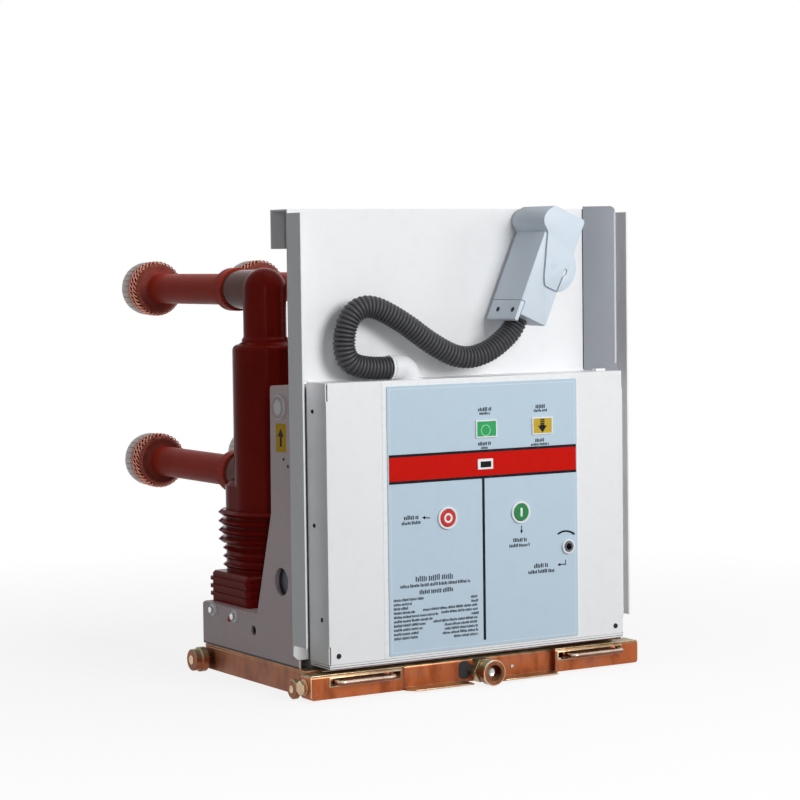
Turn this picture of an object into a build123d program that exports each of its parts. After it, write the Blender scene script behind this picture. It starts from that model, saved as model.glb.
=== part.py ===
from build123d import *
import os
from math import cos, hypot, pi, radians, sin, tan

# Withdrawable vacuum circuit breaker on a wheeled truck.
# X runs along the front, Y runs from the front to the contacts, Z is up, the floor is at zero.
# A depth is a distance behind the front face of the truck's beam.

# Shared clearances
overrun = 6
seat_gap = 0.3
pin_gap = 0.08
button_gap = 0.5

# Spacings that fix the size of the whole breaker
phase_spacing = 210
arm_spacing = 310
frame_spread = 600

# Truck: front beam, rails and deck
floor_gap = 4
beam_overhang = 13
beam_height = 38
beam_depth = 32
beam_sheet = 3
beam_bend = 5
centre_recess = 8
lip_reach = 22
lip_chamfer = 15
lip_sheet = 2.5
lip_notch_width = 54
rail_inset = 10
rail_sheet = 3
rail_flange = 30
rail_bend = 2
rail_end = 377
rear_bar_depth = 30
deck_sheet = 3

# Truck: wheels and stub axles
axle_radius = 6
axle_end_wall = 4
axle_collar_radius = 10
axle_collar_length = 5
front_wheel_radius = 15.5
front_wheel_width = 9
front_wheel_clear = 6.5
rear_wheel_radius = 20.5
rear_wheel_width = 24
rear_wheel_inset = 7
rear_roller_width = 12
rear_hub_step = 2.5
wheel_edge = 1.5
hub_edge_share = 0.4

# Truck: pull handles and drive socket
handle_outer_margin = 38
handle_inner_margin = 20
handle_length = 110
handle_rod_radius = 4
handle_bend = 9
handle_reach = 18
handle_drop = 12
handle_travel = 10
handle_slot_clear = 1.5
handle_slot_gap = 3
slide_bar_height = 15
slide_bar_depth = 6
slide_bar_end = 6
socket_reach = 40
socket_height = 18.5
socket_rim = 5.5
socket_flange_width = 16
socket_wall = 2
socket_bore_radius = 13
socket_bore_depth = 18
socket_shaft_radius = 9
socket_shaft_tail = 12
bearing_flats = 36
bearing_length = 20

# Frame behind the front
frame_sheet = 4
frame_front = 61
frame_rear = 389
frame_back = 142
frame_height = 440
base_height = 70
gusset_reach = 55
gusset_lean = 2.5
gusset_rise = 167
frame_corner = 6
port_radius = 22
port_inset = 53
port_rise = 131
small_hole_radius = 8
small_hole_inset = 68
small_hole_rise = 42
lifting_inset = 31
lifting_drop = 33
lifting_hole_radius = 12
lifting_plug_radius = 20
lifting_plug_width = 4

# Front cover and what is on it
cover_inset = 18
cover_rise = 8
cover_front = -4
cover_back = 57
cover_sheet = 2
cover_notch = 28
cover_notch_depth = 3
sill_height = 12
sill_gap = 5
sill_inset = 1
panel_left_margin = 108
panel_right_margin = 94
panel_head_margin = 9
panel_foot_margin = 4
panel_sheet = 2
panel_corner = 3
band_inset = 2.5
band_height = 37.5
band_drop = 111.5
band_sheet = 1
counter_width = 29
counter_height = 16.6
counter_sheet = 2
window_width = 36
window_height = 24
window_sheet = 2
window_drop = 62
state_window_shift = 10
charge_window_shift = 118.5
button_radius = 14
button_drop = 212
button_front = 3.5
button_tail = 10
button_travel = 5
open_button_shift = -65
close_button_shift = 75
bezel_width = 3.5
bezel_front = 3
charge_inset = 20
charge_drop = 274
charge_radius = 9
charge_front = 4
charge_tail = 22
charge_bore_radius = 5.5
charge_bore_depth = 16
charge_ring_width = 3

# Tall back plate
plate_sheet = 3
plate_overhang = 11
plate_rise = 268
plate_foot_gap = 14
plate_side_gap = 2
plate_window_gap = 1
plate_chamfer = 8
flange_reach = 41
flange_foot_gap = 24
flange_drop = 6
flange_sheet = 3
top_flange_depth = 51
top_lip_drop = 61
channel_gap = 25
channel_reach = 36
channel_sheet = 3
channel_rise = 4

# Hose, gland and plug
hose_radius = 18
hose_last_run = 36
hose_bend_share = 0.45
gland_wall = 1
gland_mouth = -150
gland_length = 37
gland_depth = 27
plug_x = 80.5
plug_rise = 89
plug_tilt = 23.6
plug_gap = 10
plug_depth = 82
plug_width = 60
plug_length = 145
plug_corner = 4
plug_collar_wall = 3
plug_collar_length = 12
pivot_shift = 4.5
pivot_rise = 96
pivot_radius = 6
lever_sheet = 4
lever_side_gap = 5
lever_right = 31
lever_grip_gap = 1
lever_head = 41
lever_waist_drop = 18
lever_hook_radius = 19
lever_hook_shift = 17
lever_toe_rise = 62
lever_edge = 8

# Pole solids
pole_depth = 322
dome_wall = 3
neck_step = 3
neck_height = 8
shoulder_drop = 90
shoulder_round = 10
body_radius = 55
bulge_offset = 32
bulge_height = 150
bulge_chamfer = 8
block_width = 148
block_depth = 132
block_height = 51
block_corner = 8
block_edge = 4
block_rib_corner = 10
block_rib_reach = 3.5
block_rib_height = 6
block_rib_count = 3
shed_reach = 13
shed_thickness = 10
shed_taper = 50
shed_pitch = 15
shed_count = 4
shed_rise = 52
small_shed_reach = 6
small_shed_thickness = 7
small_shed_pitch = 14
small_shed_count = 3
small_shed_rise = 9

# Arms, sleeves and tulip contacts
arm_rise = 209
arm_root = 14
collar_radius = 33
collar_end = 413
rod_radius = 24
sleeve_wall = 2.5
flare_lip = 3.5
flare_width = 24
flare_taper = 12
tulip_front = 712
tulip_length = 75
tulip_radius = 48
tulip_hub_step = 12
tulip_tip_step = 5
tulip_lead = 6
tulip_taper = 15
tulip_groove_inset = 35
tulip_groove_width = 6
tulip_groove_depth = 3
tulip_bore_radius = 24.5
tulip_bore_depth = 47

# Widths that follow from the sizes above
frame_outer = frame_spread / 2
frame_inner = frame_outer - frame_sheet
beam_end = frame_outer + beam_overhang
rail_outer = beam_end - rail_inset
handle_x = beam_end - handle_outer_margin - handle_length / 2
centre_reach = handle_x - handle_length / 2 - handle_inner_margin
cover_reach = frame_outer - cover_inset
cover_inner = cover_reach - cover_sheet
plate_reach = frame_outer + plate_overhang
panel_left = panel_left_margin - cover_reach
panel_right = cover_reach - panel_right_margin
panel_middle = (panel_left + panel_right) / 2
pole_shifts = {"left": -phase_spacing, "middle": 0, "right": phase_spacing}
sides = {"left": -1, "right": 1}

# Depths that follow
front = (socket_reach - tulip_front - tulip_length) / 2
pole_y = front + pole_depth
plate_front = frame_front - plate_sheet
flange_front = plate_front - flange_reach
panel_front = cover_front - panel_sheet
band_front = panel_front - band_sheet
front_wheel_depth = beam_depth + front_wheel_clear + front_wheel_radius
rear_wheel_depth = rail_end - rear_wheel_inset

# Heights that follow
beam_top = floor_gap + beam_height
socket_z = floor_gap + socket_height
frame_foot = beam_top + deck_sheet
base_top = frame_foot + base_height
frame_head = frame_foot + frame_height
lifting_z = frame_head - lifting_drop
cover_foot = frame_foot + sill_height
cover_head = frame_head + cover_rise
panel_foot = cover_foot + panel_foot_margin
panel_head = cover_head - panel_head_margin
band_head = panel_head - band_drop
button_z = panel_head - button_drop
charge_z = panel_head - charge_drop
plate_foot = frame_foot + plate_foot_gap
plate_top = cover_head + plate_rise
block_top = base_top + block_height
bulge_top = block_top + bulge_height
arm_heights = {"upper": base_top + arm_rise + arm_spacing, "lower": base_top + arm_rise}


def depths(near, far):
    return (front + near, front + far)


def across(side, inner, outer):
    return tuple(sorted((side * inner, side * outer)))


def block(x, y, z, mode=Mode.ADD):
    with Locations(((x[0] + x[1]) / 2, (y[0] + y[1]) / 2, (z[0] + z[1]) / 2)):
        Box(x[1] - x[0], y[1] - y[0], z[1] - z[0], mode=mode)


def rod_along_y(x, y, z, radius, mode=Mode.ADD):
    with Locations((x, (y[0] + y[1]) / 2, z)):
        Cylinder(radius, y[1] - y[0], rotation=(90, 0, 0), mode=mode)


def rod_along_x(x, y, z, radius, mode=Mode.ADD):
    with Locations(((x[0] + x[1]) / 2, y, z)):
        Cylinder(radius, x[1] - x[0], rotation=(0, 90, 0), mode=mode)


def turning_plane(x, z):
    return Plane(origin=(x, 0, z), x_dir=(0, 1, 0), z_dir=(1, 0, 0))


def front_plane(x, y, z):
    return Plane(origin=(x, y, z), x_dir=(1, 0, 0), z_dir=(0, -1, 0))


def write(piece, name):
    piece.part.label = name
    export_step(piece.part, f"parts/{name}.step")


os.makedirs("parts", exist_ok=True)

# Front beam: two channel ends with a slot for each handle
handle_z = beam_top - handle_drop
leg_shift = handle_length / 2 - handle_rod_radius
slot_outer = leg_shift + handle_rod_radius + handle_slot_gap
slot_inner = slot_outer + handle_travel
slot_rise = handle_rod_radius + handle_slot_clear
with BuildPart() as beam_ends:
    for side in sides.values():
        block(across(side, centre_reach, beam_end), depths(0, beam_depth), (floor_gap, beam_top))
    top_edges = beam_ends.edges().filter_by(Axis.X).group_by(Axis.Z)[-1]
    end_edges = beam_ends.edges().filter_by(Axis.Y).group_by(Axis.X)
    fillet(top_edges.group_by(Axis.Y)[0] + end_edges[0] + end_edges[-1], beam_bend)
    for side in sides.values():
        block(
            across(side, centre_reach + beam_sheet, beam_end - beam_sheet),
            depths(beam_sheet, beam_depth + overrun),
            (floor_gap + beam_sheet, beam_top - beam_sheet),
            Mode.SUBTRACT,
        )
        slot_x = across(side, handle_x - slot_inner, handle_x + slot_outer)
        slot_z = (handle_z - slot_rise, handle_z + slot_rise)
        block(slot_x, depths(-overrun, beam_sheet + seat_gap), slot_z, Mode.SUBTRACT)
write(beam_ends, "beam_ends")

# Middle of the beam: a web set back above a forward lip, notched for the drive socket
with BuildPart() as beam_centre:
    middle = (-centre_reach, centre_reach)
    block(middle, depths(centre_recess, centre_recess + beam_sheet), (floor_gap, beam_top))
    block(middle, depths(centre_recess, beam_depth), (beam_top - beam_sheet, beam_top))
    fillet(beam_centre.edges().filter_by(Axis.X).group_by(Axis.Z)[-1].sort_by(Axis.Y)[0], beam_bend)
    block(middle, depths(-lip_reach, centre_recess), (floor_gap, floor_gap + lip_sheet))
    lip_corners = beam_centre.edges().filter_by(Axis.Z).group_by(Axis.Y)[0]
    chamfer(lip_corners, lip_chamfer)
    notch = (-lip_notch_width / 2, lip_notch_width / 2)
    block(notch, depths(-lip_reach - overrun, centre_recess), (0, beam_top), Mode.SUBTRACT)
    shaft_hole = socket_shaft_radius + button_gap
    rod_along_y(0, depths(-overrun, beam_depth), socket_z, shaft_hole, Mode.SUBTRACT)
write(beam_centre, "beam_centre")

# Side rails: channels open to the middle, rounded along the top
with BuildPart() as rails:
    rail_y = depths(beam_depth, rail_end)
    for side in sides.values():
        block(across(side, rail_outer - rail_flange, rail_outer), rail_y, (floor_gap, beam_top))
    top_edges = rails.edges().filter_by(Axis.Y).group_by(Axis.Z)[-1].sort_by(Axis.X)
    fillet((top_edges[0], top_edges[-1]), rail_bend)
    for side in sides.values():
        block(
            across(side, rail_outer - rail_flange - overrun, rail_outer - rail_sheet),
            depths(beam_depth - overrun, rail_end + overrun),
            (floor_gap + rail_sheet, beam_top - rail_sheet),
            Mode.SUBTRACT,
        )
write(rails, "chassis_rails")

# Rear bar between the rails
with BuildPart() as rear_bar:
    reach = rail_outer - rail_flange
    block((-reach, reach), depths(rail_end - rear_bar_depth, rail_end), (floor_gap, beam_top))
    block(
        (-reach - overrun, reach + overrun),
        depths(rail_end - rear_bar_depth - overrun, rail_end - rail_sheet),
        (floor_gap + rail_sheet, beam_top - rail_sheet),
        Mode.SUBTRACT,
    )
write(rear_bar, "chassis_rear_bar")

# Deck plate on the rails
with BuildPart() as deck:
    block((-rail_outer, rail_outer), depths(beam_depth, rail_end), (beam_top, frame_foot))
write(deck, "chassis_deck")

# Stub axles on the rails, each with a collar that sets its wheel off
collar_end_x = rail_outer + axle_collar_length
wheel_x = collar_end_x + seat_gap
front_hub_x = wheel_x + front_wheel_width
rear_hub_x = wheel_x + rear_wheel_width
front_axle = (front + front_wheel_depth, front_wheel_radius)
rear_axle = (front + rear_wheel_depth, rear_wheel_radius)
pin_wall = axle_end_wall + seat_gap
with BuildPart() as axles:
    for side in sides.values():
        for axle, hub_x in ((front_axle, front_hub_x), (rear_axle, rear_hub_x)):
            rod_along_x(across(side, rail_outer, collar_end_x), *axle, axle_collar_radius)
            rod_along_x(across(side, rail_outer, hub_x - pin_wall), *axle, axle_radius)
write(axles, "wheel_axles")

# Wheels: plain discs in front, stepped rollers behind, each with a blind bore
bore_radius = axle_radius + pin_gap
rear_edge = min(wheel_edge, rear_hub_step * hub_edge_share)
for side_name, side in sides.items():
    with BuildPart() as wheel:
        rod_along_x(across(side, wheel_x, front_hub_x), *front_axle, front_wheel_radius)
        chamfer(wheel.edges().filter_by(GeomType.CIRCLE), wheel_edge)
        bore_x = across(side, 0, front_hub_x - axle_end_wall)
        rod_along_x(bore_x, *front_axle, bore_radius, Mode.SUBTRACT)
    write(wheel, f"wheel_front_{side_name}")
    with BuildPart() as wheel:
        roller_x = across(side, wheel_x, wheel_x + rear_roller_width)
        rod_along_x(roller_x, *rear_axle, rear_wheel_radius)
        rod_along_x(across(side, wheel_x, rear_hub_x), *rear_axle, rear_wheel_radius - rear_hub_step)
        chamfer(wheel.edges().filter_by(GeomType.CIRCLE), rear_edge)
        bore_x = across(side, 0, rear_hub_x - axle_end_wall)
        rod_along_x(bore_x, *rear_axle, bore_radius, Mode.SUBTRACT)
    write(wheel, f"wheel_rear_{side_name}")

# Pull handles: a bent rod through the slot, held by a bar that slides behind the web
for side_name, side in sides.items():
    centre = side * handle_x
    bar_y = depths(beam_sheet + seat_gap, beam_sheet + seat_gap + slide_bar_depth)
    with BuildPart() as handle:
        with BuildLine(Plane.XY.offset(handle_z)):
            FilletPolyline(
                (centre - leg_shift, bar_y[1]),
                (centre - leg_shift, front - handle_reach),
                (centre + leg_shift, front - handle_reach),
                (centre + leg_shift, bar_y[1]),
                radius=handle_bend,
            )
        with BuildSketch(front_plane(centre - leg_shift, bar_y[1], handle_z)):
            Circle(handle_rod_radius)
        sweep()
        bar_reach = leg_shift + slide_bar_end
        bar_z = (handle_z - slide_bar_height / 2, handle_z + slide_bar_height / 2)
        block((centre - bar_reach, centre + bar_reach), bar_y, bar_z)
    write(handle, f"pull_handle_{side_name}")

# Drive bearing nut on the middle of the beam, and the socket that turns in it
bearing_front = centre_recess - bearing_length
with BuildPart() as bearing:
    with BuildSketch(front_plane(0, front + centre_recess, socket_z)):
        RegularPolygon(bearing_flats / 2, 6, major_radius=False)
        Circle(socket_shaft_radius + pin_gap, mode=Mode.SUBTRACT)
    extrude(amount=bearing_length)
write(bearing, "drive_bearing")

socket_neck_radius = socket_bore_radius + socket_wall
with BuildPart() as drive_socket:
    flange_y = depths(-socket_reach, socket_flange_width - socket_reach)
    rod_along_y(0, flange_y, socket_z, socket_neck_radius + socket_rim)
    chamfer(drive_socket.edges().filter_by(GeomType.CIRCLE), wheel_edge)
    rod_along_y(0, depths(-socket_reach, bearing_front - seat_gap), socket_z, socket_neck_radius)
    shaft_end = centre_recess + beam_sheet + socket_shaft_tail
    rod_along_y(0, depths(-socket_reach, shaft_end), socket_z, socket_shaft_radius)
    bore_y = depths(-socket_reach - overrun, socket_bore_depth - socket_reach)
    rod_along_y(0, bore_y, socket_z, socket_bore_radius, Mode.SUBTRACT)
write(drive_socket, "drive_socket")

# Frame side plates: an upright with a sloped gusset down to a long base
with BuildPart() as frame_sides:
    for side in sides.values():
        with BuildSketch(Plane.YZ.offset(across(side, frame_inner, frame_outer)[0])):
            with BuildLine():
                Polyline(
                    (front + frame_front, frame_foot),
                    (front + frame_rear, frame_foot),
                    (front + frame_rear, base_top),
                    (front + frame_back + gusset_reach, base_top),
                    (front + frame_back + gusset_lean, base_top + gusset_rise),
                    (front + frame_back, frame_head),
                    (front + frame_front, frame_head),
                    close=True,
                )
            outline = make_face()
            fillet(outline.vertices().sort_by(Axis.Y)[2:], frame_corner)
            with Locations((front + frame_front + port_inset, frame_foot + port_rise)):
                Circle(port_radius, mode=Mode.SUBTRACT)
            with Locations((front + frame_back + small_hole_inset, frame_foot + small_hole_rise)):
                Circle(small_hole_radius, mode=Mode.SUBTRACT)
            with Locations((front + frame_back - lifting_inset, lifting_z)):
                Circle(lifting_hole_radius, mode=Mode.SUBTRACT)
        extrude(amount=frame_sheet)
write(frame_sides, "frame_side_plates")

# Lifting plugs in the side plates
with BuildPart() as lifting_plugs:
    lifting_y = front + frame_back - lifting_inset
    for side in sides.values():
        cap_x = across(side, frame_outer, frame_outer + lifting_plug_width)
        rod_along_x(cap_x, lifting_y, lifting_z, lifting_plug_radius)
        spigot_x = across(side, frame_inner, frame_outer)
        rod_along_x(spigot_x, lifting_y, lifting_z, lifting_hole_radius - seat_gap)
write(lifting_plugs, "lifting_plugs")

# Base under the poles, rear wall and top of the mechanism bay
with BuildPart() as base_deck:
    base_y = depths(frame_back, frame_rear)
    block((-frame_inner, frame_inner), base_y, (base_top - frame_sheet, base_top))
write(base_deck, "base_deck")

with BuildPart() as base_rear:
    wall = depths(frame_rear - frame_sheet, frame_rear)
    block((-frame_inner, frame_inner), wall, (frame_foot, base_top - frame_sheet))
write(base_rear, "base_rear_wall")

with BuildPart() as bay_rear:
    wall = depths(frame_back - frame_sheet, frame_back)
    block((-frame_inner, frame_inner), wall, (frame_foot, frame_head))
write(bay_rear, "bay_rear_wall")

with BuildPart() as bay_top:
    roof = depths(frame_front, frame_back - frame_sheet)
    block((-frame_inner, frame_inner), roof, (frame_head - frame_sheet, frame_head))
write(bay_top, "bay_top")

# Closed mechanism housing, standing on the deck and filling the cover
charge_x = panel_right - charge_inset
button_bore = button_radius + button_gap
button_room = button_tail + button_travel + overrun
bore_places = (
    (open_button_shift, button_z, button_bore, button_room),
    (close_button_shift, button_z, button_bore, button_room),
    (charge_x, charge_z, charge_radius + pin_gap, charge_tail + overrun),
)
with BuildPart() as housing:
    reach = cover_inner - seat_gap
    body_front = cover_front + cover_sheet + seat_gap
    inner_z = (cover_foot + cover_sheet + seat_gap, frame_head - frame_sheet - seat_gap)
    back = frame_back - frame_sheet - seat_gap
    block((-reach, reach), depths(body_front, back), inner_z)
    block((-reach, reach), depths(frame_front, back), (frame_foot, inner_z[0]))
    for x, z, radius, length in bore_places:
        rod_along_y(x, depths(body_front - overrun, body_front + length), z, radius, Mode.SUBTRACT)
write(housing, "mechanism_housing")

# Sill under the cover
with BuildPart() as sill:
    reach = cover_reach - sill_inset
    sill_z = (frame_foot + sill_gap, cover_foot)
    block((-reach, reach), depths(cover_front + sill_inset, plate_front), sill_z)
write(sill, "front_sill")

# Front cover: a deep pan with notched corners
with BuildPart() as cover:
    block((-cover_reach, cover_reach), depths(cover_front, cover_back), (cover_foot, cover_head))
    block(
        (-cover_inner, cover_inner),
        depths(cover_front + cover_sheet, cover_back + overrun),
        (cover_foot + cover_sheet, cover_head - cover_sheet),
        Mode.SUBTRACT,
    )
    for side in sides.values():
        notch_x = across(side, cover_reach - cover_notch_depth, cover_reach + overrun)
        notch_y = depths(cover_front - overrun, cover_front + cover_sheet)
        block(notch_x, notch_y, (cover_foot - overrun, cover_foot + cover_notch), Mode.SUBTRACT)
        block(notch_x, notch_y, (cover_head - cover_notch, cover_head + overrun), Mode.SUBTRACT)
    for x, z, radius, length in bore_places:
        rod_along_y(x, depths(cover_front - overrun, cover_front + overrun), z, radius, Mode.SUBTRACT)
write(cover, "front_cover")

# Panel, band and windows on the cover
with BuildPart() as panel:
    with BuildSketch(front_plane(panel_middle, front + cover_front, (panel_foot + panel_head) / 2)):
        RectangleRounded(panel_right - panel_left, panel_head - panel_foot, panel_corner)
    extrude(amount=panel_sheet)
    for x, z, radius, length in bore_places:
        rod_along_y(x, depths(panel_front - overrun, cover_front + overrun), z, radius, Mode.SUBTRACT)
write(panel, "front_panel")

with BuildPart() as band:
    band_x = (panel_left + band_inset, panel_right - band_inset)
    block(band_x, depths(band_front, panel_front), (band_head - band_height, band_head))
write(band, "title_band")

with BuildPart() as counter:
    counter_x = (panel_middle - counter_width / 2, panel_middle + counter_width / 2)
    counter_mid = band_head - band_height / 2
    counter_z = (counter_mid - counter_height / 2, counter_mid + counter_height / 2)
    block(counter_x, depths(band_front - counter_sheet, band_front), counter_z)
write(counter, "counter_window")

for window_name, shift in {"state": state_window_shift, "charge": charge_window_shift}.items():
    with BuildPart() as window:
        window_x = (shift - window_width / 2, shift + window_width / 2)
        window_z = (panel_head - window_drop - window_height, panel_head - window_drop)
        block(window_x, depths(panel_front - window_sheet, panel_front), window_z)
    write(window, f"{window_name}_window")

# Push buttons, their bezels and the charging socket
for button_name, shift in {"open": open_button_shift, "close": close_button_shift}.items():
    with BuildPart() as button:
        button_y = depths(panel_front - button_front, cover_front + cover_sheet + button_tail)
        rod_along_y(shift, button_y, button_z, button_radius)
        fillet(button.edges().filter_by(GeomType.CIRCLE).sort_by(Axis.Y)[0], wheel_edge)
    write(button, f"{button_name}_button")

with BuildPart() as bezels:
    for shift in (open_button_shift, close_button_shift):
        ring_y = depths(panel_front - bezel_front, panel_front)
        rod_along_y(shift, ring_y, button_z, button_bore + bezel_width)
        rod_along_y(shift, ring_y, button_z, button_bore, Mode.SUBTRACT)
    ring_y = depths(panel_front - charge_front + seat_gap, panel_front)
    rod_along_y(charge_x, ring_y, charge_z, charge_radius + pin_gap + charge_ring_width)
    rod_along_y(charge_x, ring_y, charge_z, charge_radius + pin_gap, Mode.SUBTRACT)
write(bezels, "button_bezels")

with BuildPart() as charging_socket:
    charge_face = panel_front - charge_front
    rod_along_y(charge_x, depths(charge_face, cover_front + charge_tail), charge_z, charge_radius)
    bore_y = depths(charge_face - overrun, charge_face + charge_bore_depth)
    rod_along_y(charge_x, bore_y, charge_z, charge_bore_radius, Mode.SUBTRACT)
write(charging_socket, "charging_socket")

# Tall back plate with a window for the housing and chamfered feet
plate_y = depths(plate_front, frame_front)
with BuildPart() as back_plate:
    block((-plate_reach, plate_reach), plate_y, (plate_foot, plate_top))
    feet = back_plate.edges().filter_by(Axis.Y).group_by(Axis.Z)[0]
    chamfer(feet, plate_chamfer)
    window_reach = cover_reach + plate_side_gap
    block(
        (-window_reach, window_reach),
        depths(plate_front - overrun, frame_front + overrun),
        (plate_foot - overrun, cover_head + plate_window_gap),
        Mode.SUBTRACT,
    )
write(back_plate, "back_plate")

with BuildPart() as side_flanges:
    for side in sides.values():
        flange_x = across(side, plate_reach - flange_sheet, plate_reach)
        flange_z = (plate_foot + flange_foot_gap, plate_top - flange_drop)
        block(flange_x, depths(flange_front, plate_front), flange_z)
write(side_flanges, "plate_side_flanges")

with BuildPart() as top_flange:
    flange_x = (-plate_reach, plate_reach)
    flange_back = frame_front + top_flange_depth
    block(flange_x, depths(frame_front, flange_back), (plate_top - flange_sheet, plate_top))
    lip_y = depths(flange_back - flange_sheet, flange_back)
    block(flange_x, lip_y, (plate_top - top_lip_drop, plate_top))
write(top_flange, "plate_top_flange")

channel_tip = plate_reach - channel_gap
channel_root = channel_tip - channel_reach
channel_width = channel_sheet * hypot(channel_reach, flange_reach) / flange_reach
with BuildPart() as channel:
    with BuildSketch(Plane.XY.offset(cover_head)):
        with BuildLine():
            Polyline(
                (channel_root, front + plate_front),
                (channel_tip, front + flange_front),
                (channel_tip + channel_width, front + flange_front),
                (channel_root + channel_width, front + plate_front),
                close=True,
            )
        make_face()
    extrude(amount=plate_top + channel_rise - cover_head)
write(channel, "corner_channel")

# Poles: base block, ribbed foot with a rear bulge, body, neck and dome
dome_radius = collar_radius + dome_wall
shoulder_z = arm_heights["upper"] - shoulder_drop
shed_places = [
    (block_top + shed_rise + i * shed_pitch, body_radius + shed_reach, shed_thickness)
    for i in range(shed_count)
]
shed_places += [
    (block_top + small_shed_rise + i * small_shed_pitch, body_radius + small_shed_reach, small_shed_thickness)
    for i in range(small_shed_count)
]
for pole_name, pole_x in pole_shifts.items():
    with BuildPart() as pole:
        with BuildSketch(Plane.XY.offset(base_top)):
            with Locations((pole_x, pole_y)):
                RectangleRounded(block_width, block_depth, block_corner)
        extrude(amount=block_height)
        chamfer(pole.edges().group_by(Axis.Z)[-1], block_edge)
        rib_step = block_height / (block_rib_count + 1)
        for rib in range(block_rib_count):
            rib_z = base_top + rib_step * (rib + 1)
            with BuildSketch(Plane.XY.offset(rib_z - block_rib_height / 2)):
                with Locations((pole_x, pole_y)):
                    rib_spread = 2 * block_rib_reach
                    RectangleRounded(block_width + rib_spread, block_depth + rib_spread, block_rib_corner)
            extrude(amount=block_rib_height)
        with BuildSketch(Plane.XY.offset(block_top)):
            with Locations((pole_x, pole_y + bulge_offset / 2)):
                SlotCenterToCenter(bulge_offset, 2 * body_radius, rotation=90)
        extrude(amount=bulge_top - bulge_chamfer - block_top)
        with BuildSketch(Plane.XY.offset(bulge_top - bulge_chamfer)):
            with Locations((pole_x, pole_y + bulge_offset / 2)):
                SlotCenterToCenter(bulge_offset, 2 * body_radius, rotation=90)
        extrude(amount=bulge_chamfer, taper=45)
        for shed_z, radius, thickness in shed_places:
            for way in (1, -1):
                shed_centre = (pole_x, pole_y + bulge_offset / 2, shed_z)
                with BuildSketch(Plane(origin=shed_centre, z_dir=(0, 0, way))):
                    SlotCenterToCenter(bulge_offset, 2 * radius, rotation=90)
                extrude(amount=thickness / 2, taper=shed_taper)
        with BuildSketch(front_plane(pole_x, pole_y, 0)):
            with BuildLine():
                neck_z = shoulder_z + neck_height
                Polyline(
                    (0, arm_heights["upper"] + dome_radius),
                    (0, block_top),
                    (body_radius, block_top),
                    (body_radius, shoulder_z - shoulder_round),
                )
                round_centre = (body_radius - shoulder_round, shoulder_z - shoulder_round)
                CenterArc(round_centre, shoulder_round, 0, 90)
                Polyline(
                    (body_radius - shoulder_round, shoulder_z),
                    (dome_radius + neck_step, shoulder_z + neck_height / 2),
                    (dome_radius + neck_step, neck_z),
                    (dome_radius, neck_z + neck_height / 2),
                    (dome_radius, arm_heights["upper"]),
                )
                CenterArc((0, arm_heights["upper"]), dome_radius, 0, 90)
            make_face()
        revolve(axis=Axis((pole_x, pole_y, 0), (0, 0, 1)))
        for arm_z in arm_heights.values():
            bore_y = (pole_y + arm_root, pole_y + block_depth)
            rod_along_y(pole_x, bore_y, arm_z, collar_radius + seat_gap, Mode.SUBTRACT)
    write(pole, f"pole_{pole_name}")

# Contact arms, insulating sleeves and tulip contacts: six of each
arm_places = [(x, z) for x in pole_shifts.values() for z in arm_heights.values()]
with BuildPart() as arms:
    for arm_x, arm_z in arm_places:
        collar_y = depths(pole_depth + arm_root + seat_gap, collar_end)
        rod_along_y(arm_x, collar_y, arm_z, collar_radius)
        rod_along_y(arm_x, depths(collar_end, tulip_front), arm_z, rod_radius)
write(arms, "contact_arms")

flare_y = front + collar_end + flare_width
sleeve_radius = rod_radius + sleeve_wall
with BuildPart() as sleeves:
    for arm_x, arm_z in arm_places:
        with BuildSketch(turning_plane(arm_x, arm_z)):
            with BuildLine():
                Polyline(
                    (front + collar_end, rod_radius + seat_gap),
                    (front + collar_end, collar_radius + flare_lip),
                    (flare_y, collar_radius + flare_lip),
                    (flare_y + flare_taper, sleeve_radius),
                    (front + tulip_front, sleeve_radius),
                    (front + tulip_front, rod_radius + seat_gap),
                    close=True,
                )
            make_face()
        revolve(axis=Axis((arm_x, 0, arm_z), (0, 1, 0)))
write(sleeves, "arm_sleeves")

tulip_y = front + tulip_front
tulip_end = tulip_y + tulip_length
groove_y = tulip_end - tulip_groove_inset
groove_radius = tulip_radius - tulip_groove_depth
with BuildPart() as tulips:
    for arm_x, arm_z in arm_places:
        with BuildSketch(turning_plane(arm_x, arm_z)):
            with BuildLine():
                Polyline(
                    (tulip_y, 0),
                    (tulip_y, tulip_radius - tulip_hub_step),
                    (tulip_y + tulip_lead, tulip_radius),
                    (groove_y, tulip_radius),
                    (groove_y, groove_radius),
                    (groove_y + tulip_groove_width, groove_radius),
                    (groove_y + tulip_groove_width, tulip_radius),
                    (tulip_end - tulip_taper, tulip_radius),
                    (tulip_end, tulip_radius - tulip_tip_step),
                    (tulip_end, tulip_bore_radius),
                    (tulip_end - tulip_bore_depth, tulip_bore_radius),
                    (tulip_end - tulip_bore_depth, 0),
                    close=True,
                )
            make_face()
        revolve(axis=Axis((arm_x, 0, arm_z), (0, 1, 0)))
write(tulips, "tulip_contacts")

# Hose gland: an elbow that stands on the cover
gland_radius = hose_radius + gland_wall
gland_elbow = gland_mouth + gland_length
gland_y = front + gland_depth
gland_z = cover_head + gland_radius
with BuildPart() as gland:
    rod_along_x((gland_mouth, gland_elbow), gland_y, gland_z, gland_radius)
    with Locations((gland_elbow, gland_y, gland_z)):
        Sphere(gland_radius)
    with Locations((gland_elbow, gland_y, cover_head + gland_radius / 2)):
        Cylinder(gland_radius, gland_radius)
write(gland, "hose_gland")

# Plug: a tilted box with a cable collar and pivot pins, the rear pin seated on the plate
tilt = radians(plug_tilt)
plug_axis = Vector(sin(tilt), 0, cos(tilt))
plug_side = Vector(cos(tilt), 0, -sin(tilt))
plug_z = cover_head + plug_rise
plug_rear = front + plate_front - plug_gap
plug_face = plug_rear - plug_depth
plug_middle = Vector(plug_x, plug_rear - plug_depth / 2, plug_z)


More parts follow.
